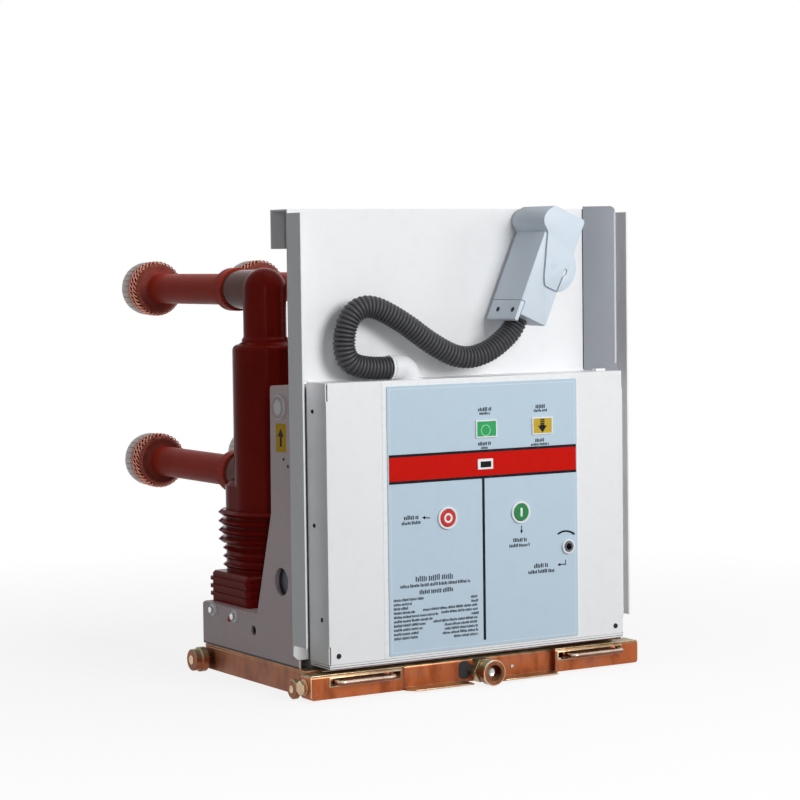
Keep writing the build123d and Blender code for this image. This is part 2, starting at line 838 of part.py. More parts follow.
def plug_plane(y):
    return Plane(origin=(plug_x, y, plug_z), x_dir=plug_side, z_dir=(0, -1, 0))


with BuildPart() as plug:
    with BuildSketch(plug_plane(plug_rear)):
        with Locations((0, plug_length / 2)):
            RectangleRounded(plug_width, plug_length, plug_corner)
    extrude(amount=plug_depth)
    pin_reach = lever_sheet + 2 * button_gap
    with BuildSketch(plug_plane(plug_face)):
        with Locations((pivot_shift, pivot_rise)):
            Circle(pivot_radius)
    extrude(amount=pin_reach)
    with BuildSketch(plug_plane(front + plate_front)):
        with Locations((pivot_shift, pivot_rise)):
            Circle(pivot_radius)
    extrude(amount=plug_gap)
    with BuildSketch(Plane(origin=plug_middle, x_dir=(0, 1, 0), z_dir=-plug_axis)):
        Circle(hose_radius + plug_collar_wall)
    extrude(amount=plug_collar_length)
write(plug, "plug_body")

# Plug lever: two shaped arms joined by a folded grip over the top of the plug
lever_left = plug_width / 2 + lever_side_gap + lever_sheet
lever_grip_rise = plug_length + lever_grip_gap
lever_top = plug_length + lever_head
lever_waist_rise = plug_length - lever_waist_drop
with BuildPart() as lever:
    for arm_y in (plug_rear + button_gap + lever_sheet, plug_face - button_gap):
        with BuildSketch(plug_plane(arm_y)):
            with BuildLine():
                Polyline(
                    (-lever_left, lever_grip_rise),
                    (-lever_left, lever_top),
                    (lever_right, lever_top),
                    (lever_right, lever_waist_rise),
                    (lever_hook_shift, lever_waist_rise - lever_hook_radius),
                    (lever_hook_shift, lever_toe_rise),
                    (0, lever_toe_rise),
                    (-lever_left + plug_corner + lever_edge, lever_grip_rise),
                    close=True,
                )
            make_face()
            with Locations((lever_hook_shift, lever_toe_rise + lever_hook_radius + lever_edge)):
                Circle(lever_hook_radius + lever_edge)
            with Locations((pivot_shift, pivot_rise)):
                Circle(pivot_radius + pin_gap, mode=Mode.SUBTRACT)
        extrude(amount=lever_sheet)
    grip_span = plug_depth + 2 * (button_gap + lever_sheet)
    with BuildSketch(plug_plane(plug_rear + button_gap + lever_sheet)):
        with Locations((lever_sheet / 2 - lever_left, (lever_grip_rise + lever_top) / 2)):
            Rectangle(lever_sheet, lever_top - lever_grip_rise)
        with Locations(((lever_right - lever_left) / 2, lever_top - lever_sheet / 2)):
            Rectangle(lever_right + lever_left, lever_sheet)
    extrude(amount=grip_span)
write(lever, "plug_lever")

# Hose route from the gland mouth, up in a loop, down in a sag and up into the plug
hose_end = plug_middle - plug_axis * plug_collar_length
hose_route = [
    Vector(gland_mouth, gland_y, gland_z),
    Vector(-196, gland_y, gland_z),
    Vector(-236, front + 26, 543),
    Vector(-230, front + 25, 600),
    Vector(-188, front + 24, 621),
    Vector(-125, front + 20, 583),
    Vector(-60, front + 15, 537),
    Vector(8, front + 8, 515),
    hose_end - plug_axis * hose_last_run,
    hose_end,
]
hose_radii = []
for before, here, after in zip(hose_route, hose_route[1:], hose_route[2:]):
    turn = radians((here - before).get_angle(after - here))
    shorter = min((here - before).length, (after - here).length)
    hose_radii.append(hose_bend_share * shorter / tan(turn / 2))
print("hose radii", [round(radius, 1) for radius in hose_radii])
with BuildPart() as hose:
    with BuildLine() as hose_line:
        FilletPolyline(*hose_route, radius=hose_radii)
    with BuildSketch(Plane(origin=hose_route[0], z_dir=hose_route[1] - hose_route[0])):
        Circle(hose_radius)
    sweep()
hose_length = hose_line.wire().length
print("hose length", round(hose_length, 1))
print("hose volume share", round(hose.part.volume / (hose_length * pi * hose_radius**2), 4))
write(hose, "hose")
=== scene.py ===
import math
import random
import bmesh
import bpy
from mathutils import Matrix, Vector


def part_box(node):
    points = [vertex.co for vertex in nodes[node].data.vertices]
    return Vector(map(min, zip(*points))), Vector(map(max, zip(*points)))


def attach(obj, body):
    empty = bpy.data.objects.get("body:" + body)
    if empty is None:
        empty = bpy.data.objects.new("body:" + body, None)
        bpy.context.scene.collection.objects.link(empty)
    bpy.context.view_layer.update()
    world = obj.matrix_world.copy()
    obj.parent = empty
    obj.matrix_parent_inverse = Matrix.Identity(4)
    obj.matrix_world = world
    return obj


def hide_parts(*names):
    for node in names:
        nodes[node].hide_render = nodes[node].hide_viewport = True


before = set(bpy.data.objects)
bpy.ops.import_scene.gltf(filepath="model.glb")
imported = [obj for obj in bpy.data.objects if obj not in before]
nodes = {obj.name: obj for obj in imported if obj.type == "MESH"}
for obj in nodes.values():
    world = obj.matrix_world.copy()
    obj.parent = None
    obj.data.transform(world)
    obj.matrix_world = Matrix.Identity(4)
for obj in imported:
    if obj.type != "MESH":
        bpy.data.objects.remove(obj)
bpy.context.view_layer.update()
mm = 0.001
print("frame loaded:", len(nodes), "nodes")


# places taken from the frame, in metres
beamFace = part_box("beam_ends")[0].y
panelLow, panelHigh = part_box("front_panel")


def atDepth(depth):
    return beamFace + depth * mm


# a place in metres from x, depth behind the beam's face and height in millimetres
def spot(x, depth, z):
    return Vector((x * mm, atDepth(depth), z * mm))


# mesh helpers: places are in metres, and sizes, outlines and profiles in millimetres

def vertsSince(bm, before):
    return [v for v in bm.verts if v not in before]


def softenEdges(bm, edges, edge, segments=2):
    bmesh.ops.bevel(bm, geom=edges, offset=edge * mm, offset_type="OFFSET", segments=segments,
                    profile=0.5, affect="EDGES", clamp_overlap=True, material=-1)


def addBlock(bm, low, high, edge=0, turn=None):
    low, high = Vector(low), Vector(high)
    made = bmesh.ops.create_cube(bm, size=1.0)["verts"]
    bmesh.ops.scale(bm, vec=high - low, verts=made)
    bmesh.ops.translate(bm, vec=(low + high) / 2, verts=made)
    if turn is not None:
        bmesh.ops.transform(bm, matrix=turn, verts=made)
    if edge:
        softenEdges(bm, list({e for v in made for e in v.link_edges}), edge)


def addSpan(bm, low, high, edge=0, side=1):
    # block between two corners of x, depth and height, mirrored where side is -1
    x0, x1 = sorted((side * low[0], side * high[0]))
    addBlock(bm, spot(x0, *low[1:]), spot(x1, *high[1:]), edge)


def addRod(bm, start, end, radius, sides=32, edge=0):
    start, end = Vector(start), Vector(end)
    along = end - start
    turn = Matrix.Translation((start + end) / 2) @ along.to_track_quat("Z", "Y").to_matrix().to_4x4()
    made = bmesh.ops.create_cone(bm, cap_ends=True, cap_tris=False, segments=sides, radius1=radius * mm,
                                 radius2=radius * mm, depth=along.length, matrix=turn)["verts"]
    if edge:
        rims = {e for v in made for e in v.link_edges if any(len(f.verts) == sides for f in e.link_faces)}
        softenEdges(bm, list(rims), edge)


def addStud(bm, seat, axis, sink, rise, radius, sides, edge=0):
    addRod(bm, seat - axis * sink * mm, seat + axis * rise * mm, radius, sides, edge)


def addTurned(bm, profile, centre, axis, sides=48, closed=False):
    # profile is (along, radius) pairs, spun about the axis
    before = set(bm.verts)
    axis = Vector(axis).normalized()
    across = axis.orthogonal().normalized()
    ring = [bm.verts.new(Vector(centre) + (axis * a + across * r) * mm) for a, r in profile]
    pairs = list(zip(ring, ring[1:])) + ([(ring[-1], ring[0])] if closed else [])
    edges = [bm.edges.new(pair) for pair in pairs]
    bmesh.ops.spin(bm, geom=ring + edges, cent=centre, axis=axis, dvec=(0, 0, 0), angle=2 * math.pi,
                   steps=sides, use_merge=True, use_normal_flip=False, use_duplicate=False)
    bmesh.ops.remove_doubles(bm, verts=vertsSince(bm, before), dist=1e-6)


def addPlate(bm, outline, thickness, turn, rounds=None, edge=0, segments=6):
    # outline is points in the plate's own plane, extruded along its normal
    before, faceBefore = set(bm.verts), set(bm.faces)
    made = [bm.verts.new((x * mm, y * mm, 0)) for x, y in outline]
    bm.faces.new(made)
    for index, radius in (rounds or {}).items():
        bmesh.ops.bevel(bm, geom=[made[index]], offset=radius * mm, offset_type="OFFSET", segments=segments,
                        profile=0.5, affect="VERTICES", clamp_overlap=True, material=-1)
    faces = [f for f in bm.faces if f not in faceBefore]
    raised = bmesh.ops.extrude_face_region(bm, geom=faces)["geom"]
    bmesh.ops.translate(bm, vec=(0, 0, thickness * mm), verts=[g for g in raised if isinstance(g, bmesh.types.BMVert)])
    made = vertsSince(bm, before)
    bmesh.ops.transform(bm, matrix=turn, verts=made)
    if edge:
        rims = [e for e in {e for v in made for e in v.link_edges} if any(len(f.verts) > 4 for f in e.link_faces)]
        softenEdges(bm, rims, edge)


def corners(x0, y0, x1, y1):
    return [(x0, y0), (x1, y0), (x1, y1), (x0, y1)]


def facing(origin, right, up):
    # a plane whose normal is right x up
    right, up = Vector(right), Vector(up)
    turn = Matrix((right, up, right.cross(up))).transposed().to_4x4()
    return Matrix.Translation(origin) @ turn


def frontFacing(depth):
    return facing(spot(0, depth, 0), (1, 0, 0), (0, 0, 1))


def addObject(name, data):
    made = bpy.data.objects.new(name, data)
    bpy.context.scene.collection.objects.link(made)
    return made


def finishPiece(bm, name, look, slot, body="breaker", smooth=35):
    bmesh.ops.recalc_face_normals(bm, faces=bm.faces[:])
    mesh = bpy.data.meshes.new(name)
    bm.to_mesh(mesh)
    bm.free()
    mesh.materials.append(finish[look])
    mesh.polygons.foreach_set("use_smooth", [True] * len(mesh.polygons))
    mesh.set_sharp_from_angle(angle=math.radians(smooth))
    piece = addObject(name, mesh)
    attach(piece, body)
    return piece


# material helpers

def newMaterial(name):
    material = bpy.data.materials.new(name)
    material.use_nodes = True
    tree = material.node_tree
    return material, tree, tree.nodes["Principled BSDF"]


def addNode(tree, kind, inputs=None, **settings):
    made = tree.nodes.new("ShaderNode" + kind)
    for key, value in settings.items():
        setattr(made, key, value)
    for key, value in (inputs or {}).items():
        if isinstance(value, bpy.types.NodeSocket):
            tree.links.new(value, made.inputs[key])
        else:
            made.inputs[key].default_value = value
    return made


def noise(tree, scale, detail=3.0, stretch=(1, 1, 1)):
    place = addNode(tree, "TexCoord").outputs["Object"]
    point = addNode(tree, "Mapping", {"Vector": place, "Scale": stretch}).outputs["Vector"]
    return addNode(tree, "TexNoise", {"Vector": point, "Scale": scale, "Detail": detail}).outputs["Fac"]


def spread(tree, value, low, high, fromLow=0.3, fromHigh=0.7):
    inputs = {"Value": value, "From Min": fromLow, "From Max": fromHigh, "To Min": low, "To Max": high}
    return addNode(tree, "MapRange", inputs).outputs["Result"]


def ramp(tree, value, stops):
    made = addNode(tree, "ValToRGB", {"Fac": value})
    elements = made.color_ramp.elements
    while len(elements) < len(stops):
        elements.new(0.5)
    for element, (place, colour) in zip(elements, stops):
        element.position = place
        element.color = (*colour, 1)
    return made.outputs["Color"]


def mixColour(tree, value, first, second, blend="MIX"):
    made = addNode(tree, "Mix", data_type="RGBA", blend_type=blend)
    for index, item in ((0, value), (6, first), (7, second)):
        if isinstance(item, bpy.types.NodeSocket):
            tree.links.new(item, made.inputs[index])
        else:
            made.inputs[index].default_value = item if index == 0 else (*item, 1)
    return made.outputs[2]


def darken(tree, colour, value, mark, start, end):
    # multiplies the colour by a mark that fades out as the value rises
    return mixColour(tree, 1.0, colour, ramp(tree, value, [(start, mark), (end, (1, 1, 1))]), "MULTIPLY")


def addBump(tree, shader, height, strength, distance):
    made = addNode(tree, "Bump", {"Height": height, "Strength": strength, "Distance": distance})
    tree.links.new(made.outputs["Normal"], shader.inputs["Normal"])


def feed(tree, shader, baseColour, roughness=None):
    tree.links.new(baseColour, shader.inputs["Base Color"])
    if roughness:
        tree.links.new(roughness, shader.inputs["Roughness"])


# powder coat and moulded plastic: soft mottling, orange peel, uneven gloss
def coatMaterial(name, colour, shade, rough, patchScale=7.0, peel=0.12, specular=0.4):
    material, tree, shader = newMaterial(name)
    patches = noise(tree, patchScale, 4.0)
    smudges = noise(tree, 45.0, 5.0)
    tint = ramp(tree, patches, [(0.3, shade), (0.7, colour)])
    feed(tree, shader, darken(tree, tint, smudges, (0.975, 0.975, 0.975), 0.25, 0.5), spread(tree, smudges, *rough))
    addBump(tree, shader, noise(tree, 800.0, 2.0), peel, 0.0003)
    shader.inputs["Specular IOR Level"].default_value = specular
    return name, material


# yellow passivated zinc: orange and rosy on upright faces; faces that look up turn pale olive yellow, a painted
# reflection of the surroundings
def zincMaterial(name, warm, upSheen, stain, rough, metallic, cloudScale=26.0, dripScale=80.0, drip=(1, 1, 1)):
    material, tree, shader = newMaterial(name)
    clouds = noise(tree, cloudScale, 4.0)
    drips = noise(tree, dripScale, 3.0, drip)
    normal = addNode(tree, "TexCoord").outputs["Normal"]
    upward = addNode(tree, "SeparateXYZ", {"Vector": normal}).outputs["Z"]
    tint = mixColour(tree, spread(tree, upward, 0, 1, 0.1, 0.7), ramp(tree, clouds, warm), ramp(tree, clouds, upSheen))
    feed(tree, shader, darken(tree, tint, drips, stain, 0.3, 0.55), spread(tree, drips, *rough))
    addBump(tree, shader, noise(tree, 260.0, 3.0), 0.06, 0.0004)
    shader.inputs["Metallic"].default_value = metallic
    return name, material


# turned or drawn metal with fine tool lines along one way
def metalMaterial(name, colour, shade, rough, line=(1, 8, 1), lineScale=90.0, cloudScale=30.0):
    material, tree, shader = newMaterial(name)
    lines = noise(tree, lineScale, 3.0, line)
    clouds = noise(tree, cloudScale, 4.0)
    feed(tree, shader, ramp(tree, clouds, [(0.3, shade), (0.7, colour)]), spread(tree, lines, *rough))
    addBump(tree, shader, lines, 0.1, 0.0002)
    shader.inputs["Metallic"].default_value = 1.0
    return name, material


# plated copper fingers: red at the root, partly copper and partly a painted reflection of the red sleeve, silver grey
# towards the tip
def fingerMaterial(name, front, rear, start, end, rough):
    material, tree, shader = newMaterial(name)
    place = addNode(tree, "TexCoord").outputs["Object"]
    along = addNode(tree, "SeparateXYZ", {"Vector": place}).outputs["Y"]
    clouds = noise(tree, 70.0, 4.0)
    tint = mixColour(tree, spread(tree, along, 0, 1, atDepth(start), atDepth(end)), front, rear)
    feed(tree, shader, darken(tree, tint, clouds, (0.68, 0.64, 0.62), 0.3, 0.65), spread(tree, clouds, *rough))
    addBump(tree, shader, noise(tree, 400.0, 2.0, (6, 1, 6)), 0.1, 0.0002)
    shader.inputs["Metallic"].default_value = 0.8
    return name, material


# cast epoxy: deep colour, glossy, with the slight ripple of a moulding
def epoxyMaterial(name, colour, shade, rough, flowScale, ripple, specular):
    material, tree, shader = newMaterial(name)
    flow = noise(tree, flowScale, 3.0)
    dust = noise(tree, 160.0, 5.0)
    feed(tree, shader, ramp(tree, flow, [(0.3, shade), (0.7, colour)]), spread(tree, dust, *rough))
    addBump(tree, shader, flow, ripple, 0.002)
    shader.inputs["Specular IOR Level"].default_value = specular
    return name, material


# printed ink: nearly even, a little worn
def inkMaterial(name, colour, worn):
    material, tree, shader = newMaterial(name)
    wearAndGlints = noise(tree, 90.0, 4.0)
    feed(tree, shader, ramp(tree, wearAndGlints, [(0.25, worn), (0.5, colour)]), spread(tree, wearAndGlints, 0.4, 0.55))
    shader.inputs["Specular IOR Level"].default_value = 0.05
    return name, material


# ribbed conduit: darker in the grooves and lighter on the crests, from the ring attribute
def conduitMaterial(name, valley, crest, rough):
    material, tree, shader = newMaterial(name)
    height = addNode(tree, "Attribute", attribute_name="crest").outputs["Fac"]
    scuffs = noise(tree, 220.0, 4.0)
    tint = mixColour(tree, spread(tree, height, 0, 1, 0.2, 1.0), valley, crest)
    feed(tree, shader, darken(tree, tint, scuffs, (0.75, 0.75, 0.78), 0.3, 0.65), spread(tree, scuffs, *rough))
    addBump(tree, shader, noise(tree, 900.0, 2.0), 0.08, 0.0003)
    return name, material


# colour, shade and range of roughness come first, unless the maker says otherwise
sheetGrain = {"cloudScale": 16.0, "dripScale": 60.0, "drip": (1, 1, 0.35)}
# colours for sheet faces that look up: a painted reflection
sheetUpSheen = [(0.3, (0.27, 0.22, 0.125)), (0.7, (0.42, 0.36, 0.22))]
finish = dict([
    coatMaterial("whitePaint", (0.83, 0.835, 0.845), (0.815, 0.82, 0.832), (0.34, 0.46)),
    # stiffenerShadePaint: the white paint darkened to grey, painted shade on the stiffener's face
    coatMaterial("stiffenerShadePaint", (0.37, 0.385, 0.43), (0.35, 0.365, 0.41), (0.36, 0.48)),
    # shadedPaint: the frame's pale paint darkened and made pinker, painted shade on the side plates and base
    coatMaterial("shadedPaint", (0.68, 0.56, 0.565), (0.64, 0.525, 0.53), (0.38, 0.5), specular=0.25),
    # shadeNavy: dark navy for the painted shade in the side ports and along the feet
    coatMaterial("shadeNavy", (0.012, 0.018, 0.035), (0.008, 0.012, 0.024), (0.3, 0.45)),
    coatMaterial("bayGrey", (0.4, 0.385, 0.39), (0.37, 0.355, 0.36), (0.4, 0.55)),
    zincMaterial("zinc", [(0.3, (0.3, 0.07, 0.028)), (0.5, (0.42, 0.112, 0.036)), (0.72, (0.37, 0.125, 0.066))],
                 sheetUpSheen, (0.66, 0.58, 0.54), (0.3, 0.46), 0.9, **sheetGrain),
    zincMaterial("railZinc", [(0.3, (0.19, 0.06, 0.028)), (0.5, (0.28, 0.095, 0.04)), (0.72, (0.25, 0.105, 0.06))],
                 sheetUpSheen, (0.66, 0.58, 0.54), (0.3, 0.46), 0.85, **sheetGrain),
    # handle zinc: a pale painted highlight on top and a dark red-brown painted reflection on the sides
    zincMaterial("handleZinc", [(0.3, (0.17, 0.06, 0.04)), (0.7, (0.26, 0.11, 0.07))],
                 [(0.3, (0.66, 0.56, 0.42)), (0.7, (0.82, 0.76, 0.64))], (0.8, 0.74, 0.68), (0.16, 0.28), 1.0, 30.0),
    zincMaterial("oliveZinc", [(0.3, (0.36, 0.27, 0.15)), (0.7, (0.55, 0.45, 0.28))],
                 [(0.3, (0.42, 0.36, 0.22)), (0.7, (0.62, 0.56, 0.38))], (0.7, 0.64, 0.58), (0.24, 0.4), 0.9),
    zincMaterial("brightZinc", [(0.3, (0.44, 0.27, 0.15)), (0.55, (0.66, 0.5, 0.33)), (0.75, (0.55, 0.36, 0.24))],
                 [(0.3, (0.62, 0.54, 0.36)), (0.7, (0.8, 0.75, 0.58))], (0.8, 0.74, 0.68), (0.18, 0.32), 1.0),
    epoxyMaterial("epoxy", (0.3, 0.016, 0.01), (0.24, 0.012, 0.0075), (0.12, 0.22), 9.0, 0.05, 0.03),
    epoxyMaterial("sleeve", (0.6, 0.05, 0.024), (0.5, 0.04, 0.019), (0.3, 0.44), 14.0, 0.08, 0.03),
    # shoulder: a darker copy of the sleeve's red, painted shade on the shoulder's front face
    epoxyMaterial("shoulder", (0.38, 0.075, 0.055), (0.22, 0.045, 0.034), (0.34, 0.5), 40.0, 0.1, 0.06),
    epoxyMaterial("collar", (0.25, 0.08, 0.058), (0.19, 0.055, 0.04), (0.12, 0.22), 24.0, 0.04, 0.06),
    fingerMaterial("fingerMetal", (0.19, 0.04, 0.028), (0.31, 0.265, 0.245), 744, 756, (0.28, 0.44)),
    # the springs' copper red is partly bronze and partly a painted reflection of the red sleeve
    metalMaterial("springMetal", (0.62, 0.3, 0.22), (0.4, 0.13, 0.09), (0.16, 0.3), (1, 1, 1), 120.0, 90.0),
    metalMaterial("steel", (0.66, 0.66, 0.67), (0.5, 0.5, 0.51), (0.2, 0.34)),
    metalMaterial("darkSteel", (0.2, 0.21, 0.23), (0.1, 0.105, 0.12), (0.2, 0.34)),
    coatMaterial("film", (0.5, 0.62, 0.72), (0.49, 0.61, 0.71), (0.4, 0.52), patchScale=3.0, peel=0.05, specular=0.3),
    coatMaterial("filmEdge", (0.66, 0.755, 0.83), (0.62, 0.72, 0.8), (0.4, 0.5), peel=0.03),
    coatMaterial("greenFlag", (0.02, 0.36, 0.11), (0.016, 0.31, 0.095), (0.2, 0.3), peel=0.02),
    coatMaterial("yellowFlag", (0.58, 0.4, 0.022), (0.5, 0.34, 0.018), (0.2, 0.3), peel=0.02),
    coatMaterial("redKnob", (0.63, 0.022, 0.02), (0.55, 0.018, 0.016), (0.22, 0.34), peel=0.04),
    coatMaterial("greenKnob", (0.012, 0.22, 0.055), (0.01, 0.18, 0.045), (0.22, 0.34), peel=0.04),
    coatMaterial("whitePlastic", (0.8, 0.815, 0.83), (0.77, 0.785, 0.805), (0.32, 0.44), peel=0.08),
    coatMaterial("bluePlastic", (0.63, 0.705, 0.78), (0.59, 0.67, 0.75), (0.36, 0.48), peel=0.1),
    # shadeAndSeamBlack: black for painted shadows, painted shade in holes and slots, and dark joint lines
    coatMaterial("shadeAndSeamBlack", (0.02, 0.02, 0.023), (0.014, 0.014, 0.016), (0.5, 0.65)),
    conduitMaterial("conduit", (0.012, 0.012, 0.015), (0.06, 0.061, 0.068), (0.38, 0.52)),
    inkMaterial("redFilm", (0.58, 0.009, 0.005), (0.53, 0.009, 0.005)),
    inkMaterial("blackInk", (0.012, 0.012, 0.016), (0.03, 0.03, 0.035)),
    inkMaterial("greyInk", (0.03, 0.034, 0.045), (0.08, 0.09, 0.11)),
    inkMaterial("whiteInk", (0.86, 0.87, 0.88), (0.78, 0.79, 0.8)),
    inkMaterial("paleGreen", (0.34, 0.72, 0.42), (0.28, 0.62, 0.36)),
    inkMaterial("pinkRing", (0.74, 0.6, 0.59), (0.66, 0.5, 0.5)),
    inkMaterial("yellowTag", (0.78, 0.47, 0.02), (0.66, 0.39, 0.02)),
    inkMaterial("redDot", (0.6, 0.1, 0.06), (0.5, 0.08, 0.05)),
])
print("finishes made:", len(finish))


# camera at the photograph's viewing angle
cameraView = {"place": (-2.13726, -3.62653, 0.68456), "azimuth": -31.47, "pitch": 3.34, "roll": 0.72,
              "focalPixels": 2443.87, "imagePixels": 800, "sensor": 36.0}


def makeCamera(view):
    azimuth, pitch, roll = (math.radians(view[key]) for key in ("azimuth", "pitch", "roll"))
    ahead = Vector((math.sin(-azimuth) * math.cos(pitch), math.cos(azimuth) * math.cos(pitch), -math.sin(pitch)))
    right = Vector((math.cos(azimuth), math.sin(azimuth), 0))
    above = right.cross(ahead)
    rolledRight = right * math.cos(roll) - above * math.sin(roll)
    rolledAbove = right * math.sin(roll) + above * math.cos(roll)
    data = bpy.data.cameras.new("studioCamera")
    data.sensor_width = view["sensor"]
    data.lens = view["focalPixels"] * view["sensor"] / view["imagePixels"]
    camera = addObject("studioCamera", data)
    turn = Matrix((rolledRight, rolledAbove, -ahead)).transposed().to_4x4()
    camera.matrix_world = Matrix.Translation(view["place"]) @ turn
    bpy.context.scene.camera = camera


# soft boxes: key in front, weak fill from the right, one overhead, a strip for the poles' edge
lamps = {
    "keyBox": {"place": (0.4, -2.9, 1.45), "aim": (-0.05, 0, 0.35), "size": (1.2, 1.2), "watts": 54},
    "sideBox": {"place": (3.3, -2.7, 1.5), "aim": (0, 0, 0.35), "size": (1.0, 1.4), "watts": 22, "glossy": False},
    "topBox": {"place": (0.6, -0.4, 3.4), "aim": (0, 0, 0), "size": (1.6, 1.6), "watts": 11},
    "poleStrip": {"place": (-2.0, -3.9, 1.2), "aim": (-0.2, 0, 0.45), "size": (0.07, 1.5), "watts": 11},
}
ambient = {"colour": (0.93, 0.96, 1.0), "strength": 0.17}


def makeLights():
    for name, lamp in lamps.items():
        data = bpy.data.lights.new(name, "AREA")
        data.shape = "RECTANGLE"
        data.size, data.size_y = lamp["size"]
        data.energy = lamp["watts"]
        light = addObject(name, data)
        light.visible_glossy = lamp.get("glossy", True)
        place = Vector(lamp["place"])
        turn = (Vector(lamp["aim"]) - place).to_track_quat("-Z", "Y").to_matrix().to_4x4()
        light.matrix_world = Matrix.Translation(place) @ turn


def seenRay(tree):
    path = addNode(tree, "LightPath").outputs
    first = addNode(tree, "Math", {0: path["Is Camera Ray"], 1: path["Is Glossy Ray"]}, operation="MAXIMUM").outputs[0]
    return addNode(tree, "Math", {0: first, 1: path["Is Transmission Ray"]}, operation="MAXIMUM").outputs[0]


def makeWorld():
    world = bpy.data.worlds.new("studio")
    bpy.context.scene.world = world
    world.use_nodes = True
    tree = world.node_tree
    soft = tree.nodes["Background"]
    soft.inputs["Color"].default_value = (*ambient["colour"], 1)
    soft.inputs["Strength"].default_value = ambient["strength"]
    white = addNode(tree, "Background", {"Color": (1, 1, 1, 1), "Strength": 1.0})
    both = addNode(tree, "MixShader", {0: seenRay(tree), 1: soft.outputs[0], 2: white.outputs[0]})
    tree.links.new(both.outputs[0], tree.nodes["World Output"].inputs["Surface"])


floorLook = {"reach": 30.0, "seenColour": 0.95, "bounceColour": 0.34, "glow": 0.86, "fadeFrom": 0.5, "fadeTo": 1.6,
             "rough": 0.9}


def makeFloor(look):
    bm = bmesh.new()
    bmesh.ops.create_grid(bm, x_segments=1, y_segments=1, size=look["reach"])
    mesh = bpy.data.meshes.new("studioFloor")
    bm.to_mesh(mesh)
    bm.free()
    material, tree, shader = newMaterial("studioFloor")
    rayKind = seenRay(tree)
    tone = spread(tree, rayKind, look["bounceColour"], look["seenColour"], 0.0, 1.0)
    feed(tree, shader, addNode(tree, "CombineColor", {0: tone, 1: tone, 2: tone}).outputs[0])
    shader.inputs["Roughness"].default_value = look["rough"]
    shader.inputs["Specular IOR Level"].default_value = 0.0
    place = addNode(tree, "TexCoord").outputs["Object"]
    away = addNode(tree, "VectorMath", {0: place}, operation="LENGTH").outputs["Value"]
    share = spread(tree, away, look["glow"], 1.0, look["fadeFrom"], look["fadeTo"])
    seen = addNode(tree, "Math", {0: rayKind, 1: share}, operation="MULTIPLY").outputs[0]
    glow = addNode(tree, "Emission", {"Color": (1, 1, 1, 1), "Strength": 1.0}).outputs[0]
    both = addNode(tree, "MixShader", {0: seen, 1: shader.outputs[0], 2: glow})
    tree.links.new(both.outputs[0], tree.nodes["Material Output"].inputs["Surface"])
    mesh.materials.append(material)
    floor = addObject("studioFloor", mesh)


makeCamera(cameraView)
makeLights()
makeWorld()
makeFloor(floorLook)
bpy.context.scene.view_settings.view_transform = "Standard"
print("camera, lights and floor set")


# corrugated hose from the gland to the plug, places as x, depth, height in millimetres
hoseSettings = {
    "route": [(-150, 27, 512), (-190, 27, 511), (-233, 26, 526), (-228, 25, 590), (-191, 24, 615), (-132, 20, 587),
              (-75, 16, 546), (-24, 11.5, 521), (24, 8.5, 530), (60, 7.2, 555), (75.7, 7, 571), (84.1, 7, 590.2)],
    "radius": 18, "groove": 2.6, "pitch": 6.3, "ringsPerRib": 8, "sides": 36, "length": 0.504, "crestShare": 0.7,
}


def readRoute(settings):
    curve = bpy.data.curves.new("hoseRoute", "CURVE")
    curve.dimensions = "3D"
    spline = curve.splines.new("NURBS")
    spline.points.add(len(settings["route"]) - 1)
    for point, place in zip(spline.points, settings["route"]):
        point.co = (*spot(*place), 1)
    spline.order_u = 3
    spline.use_endpoint_u = True
    spline.resolution_u = 48
    holder = bpy.data.objects.new("hoseRoute", curve)
    mesh = bpy.data.meshes.new_from_object(holder)
    points = [v.co.copy() for v in mesh.vertices]
    bpy.data.objects.remove(holder)
    bpy.data.meshes.remove(mesh)
    return points


def evenPoints(points, step):
    # places a step apart along the line, with the way it runs there
    found, travelled, wanted = [], 0.0, 0.0
    for here, after in zip(points, points[1:]):
        run = (after - here).length
        while run > 0 and wanted <= travelled + run:
            found.append((here.lerp(after, (wanted - travelled) / run), (after - here).normalized()))
            wanted += step
        travelled += run
    return found


def makeHose(settings):
    stations = evenPoints(readRoute(settings), settings["pitch"] * mm / settings["ringsPerRib"])
    bm = bmesh.new()
    crest = bm.verts.layers.float.new("crest")
    ring = bmesh.ops.create_circle(bm, cap_ends=True, radius=1.0, segments=settings["sides"])["verts"]
    unit = [v.co.copy() for v in ring]
    way = stations[0][1]
    turn = way.to_track_quat("Z", "Y")
    for index, (place, heading) in enumerate(stations):
        if index:
            rim = [e for v in ring for e in v.link_edges if e.other_vert(v) is ring[(ring.index(v) + 1) % len(ring)]]
            made = bmesh.ops.extrude_edge_only(bm, edges=rim)["geom"]
            fresh = {g for g in made if isinstance(g, bmesh.types.BMVert)}
            ring = [next(e.other_vert(v) for e in v.link_edges if e.other_vert(v) in fresh) for v in ring]
        turn = way.rotation_difference(heading) @ turn
        way = heading
        height = (0.5 - 0.5 * math.cos(2 * math.pi * index / settings["ringsPerRib"])) ** settings["crestShare"]
        radius = (settings["radius"] - settings["groove"] * (1 - height)) * mm
        for vert, at in zip(ring, unit):
            vert.co = place + turn @ (at * radius)
            vert[crest] = height
    bm.faces.new(ring)
    hose = finishPiece(bm, "corrugatedHose", "conduit", "hose", smooth=60)
    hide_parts("hose")
    return hose, [place for place, heading in stations]


hose, hoseLine = makeHose(hoseSettings)
print("hose made:", len(hose.data.polygons), "faces")


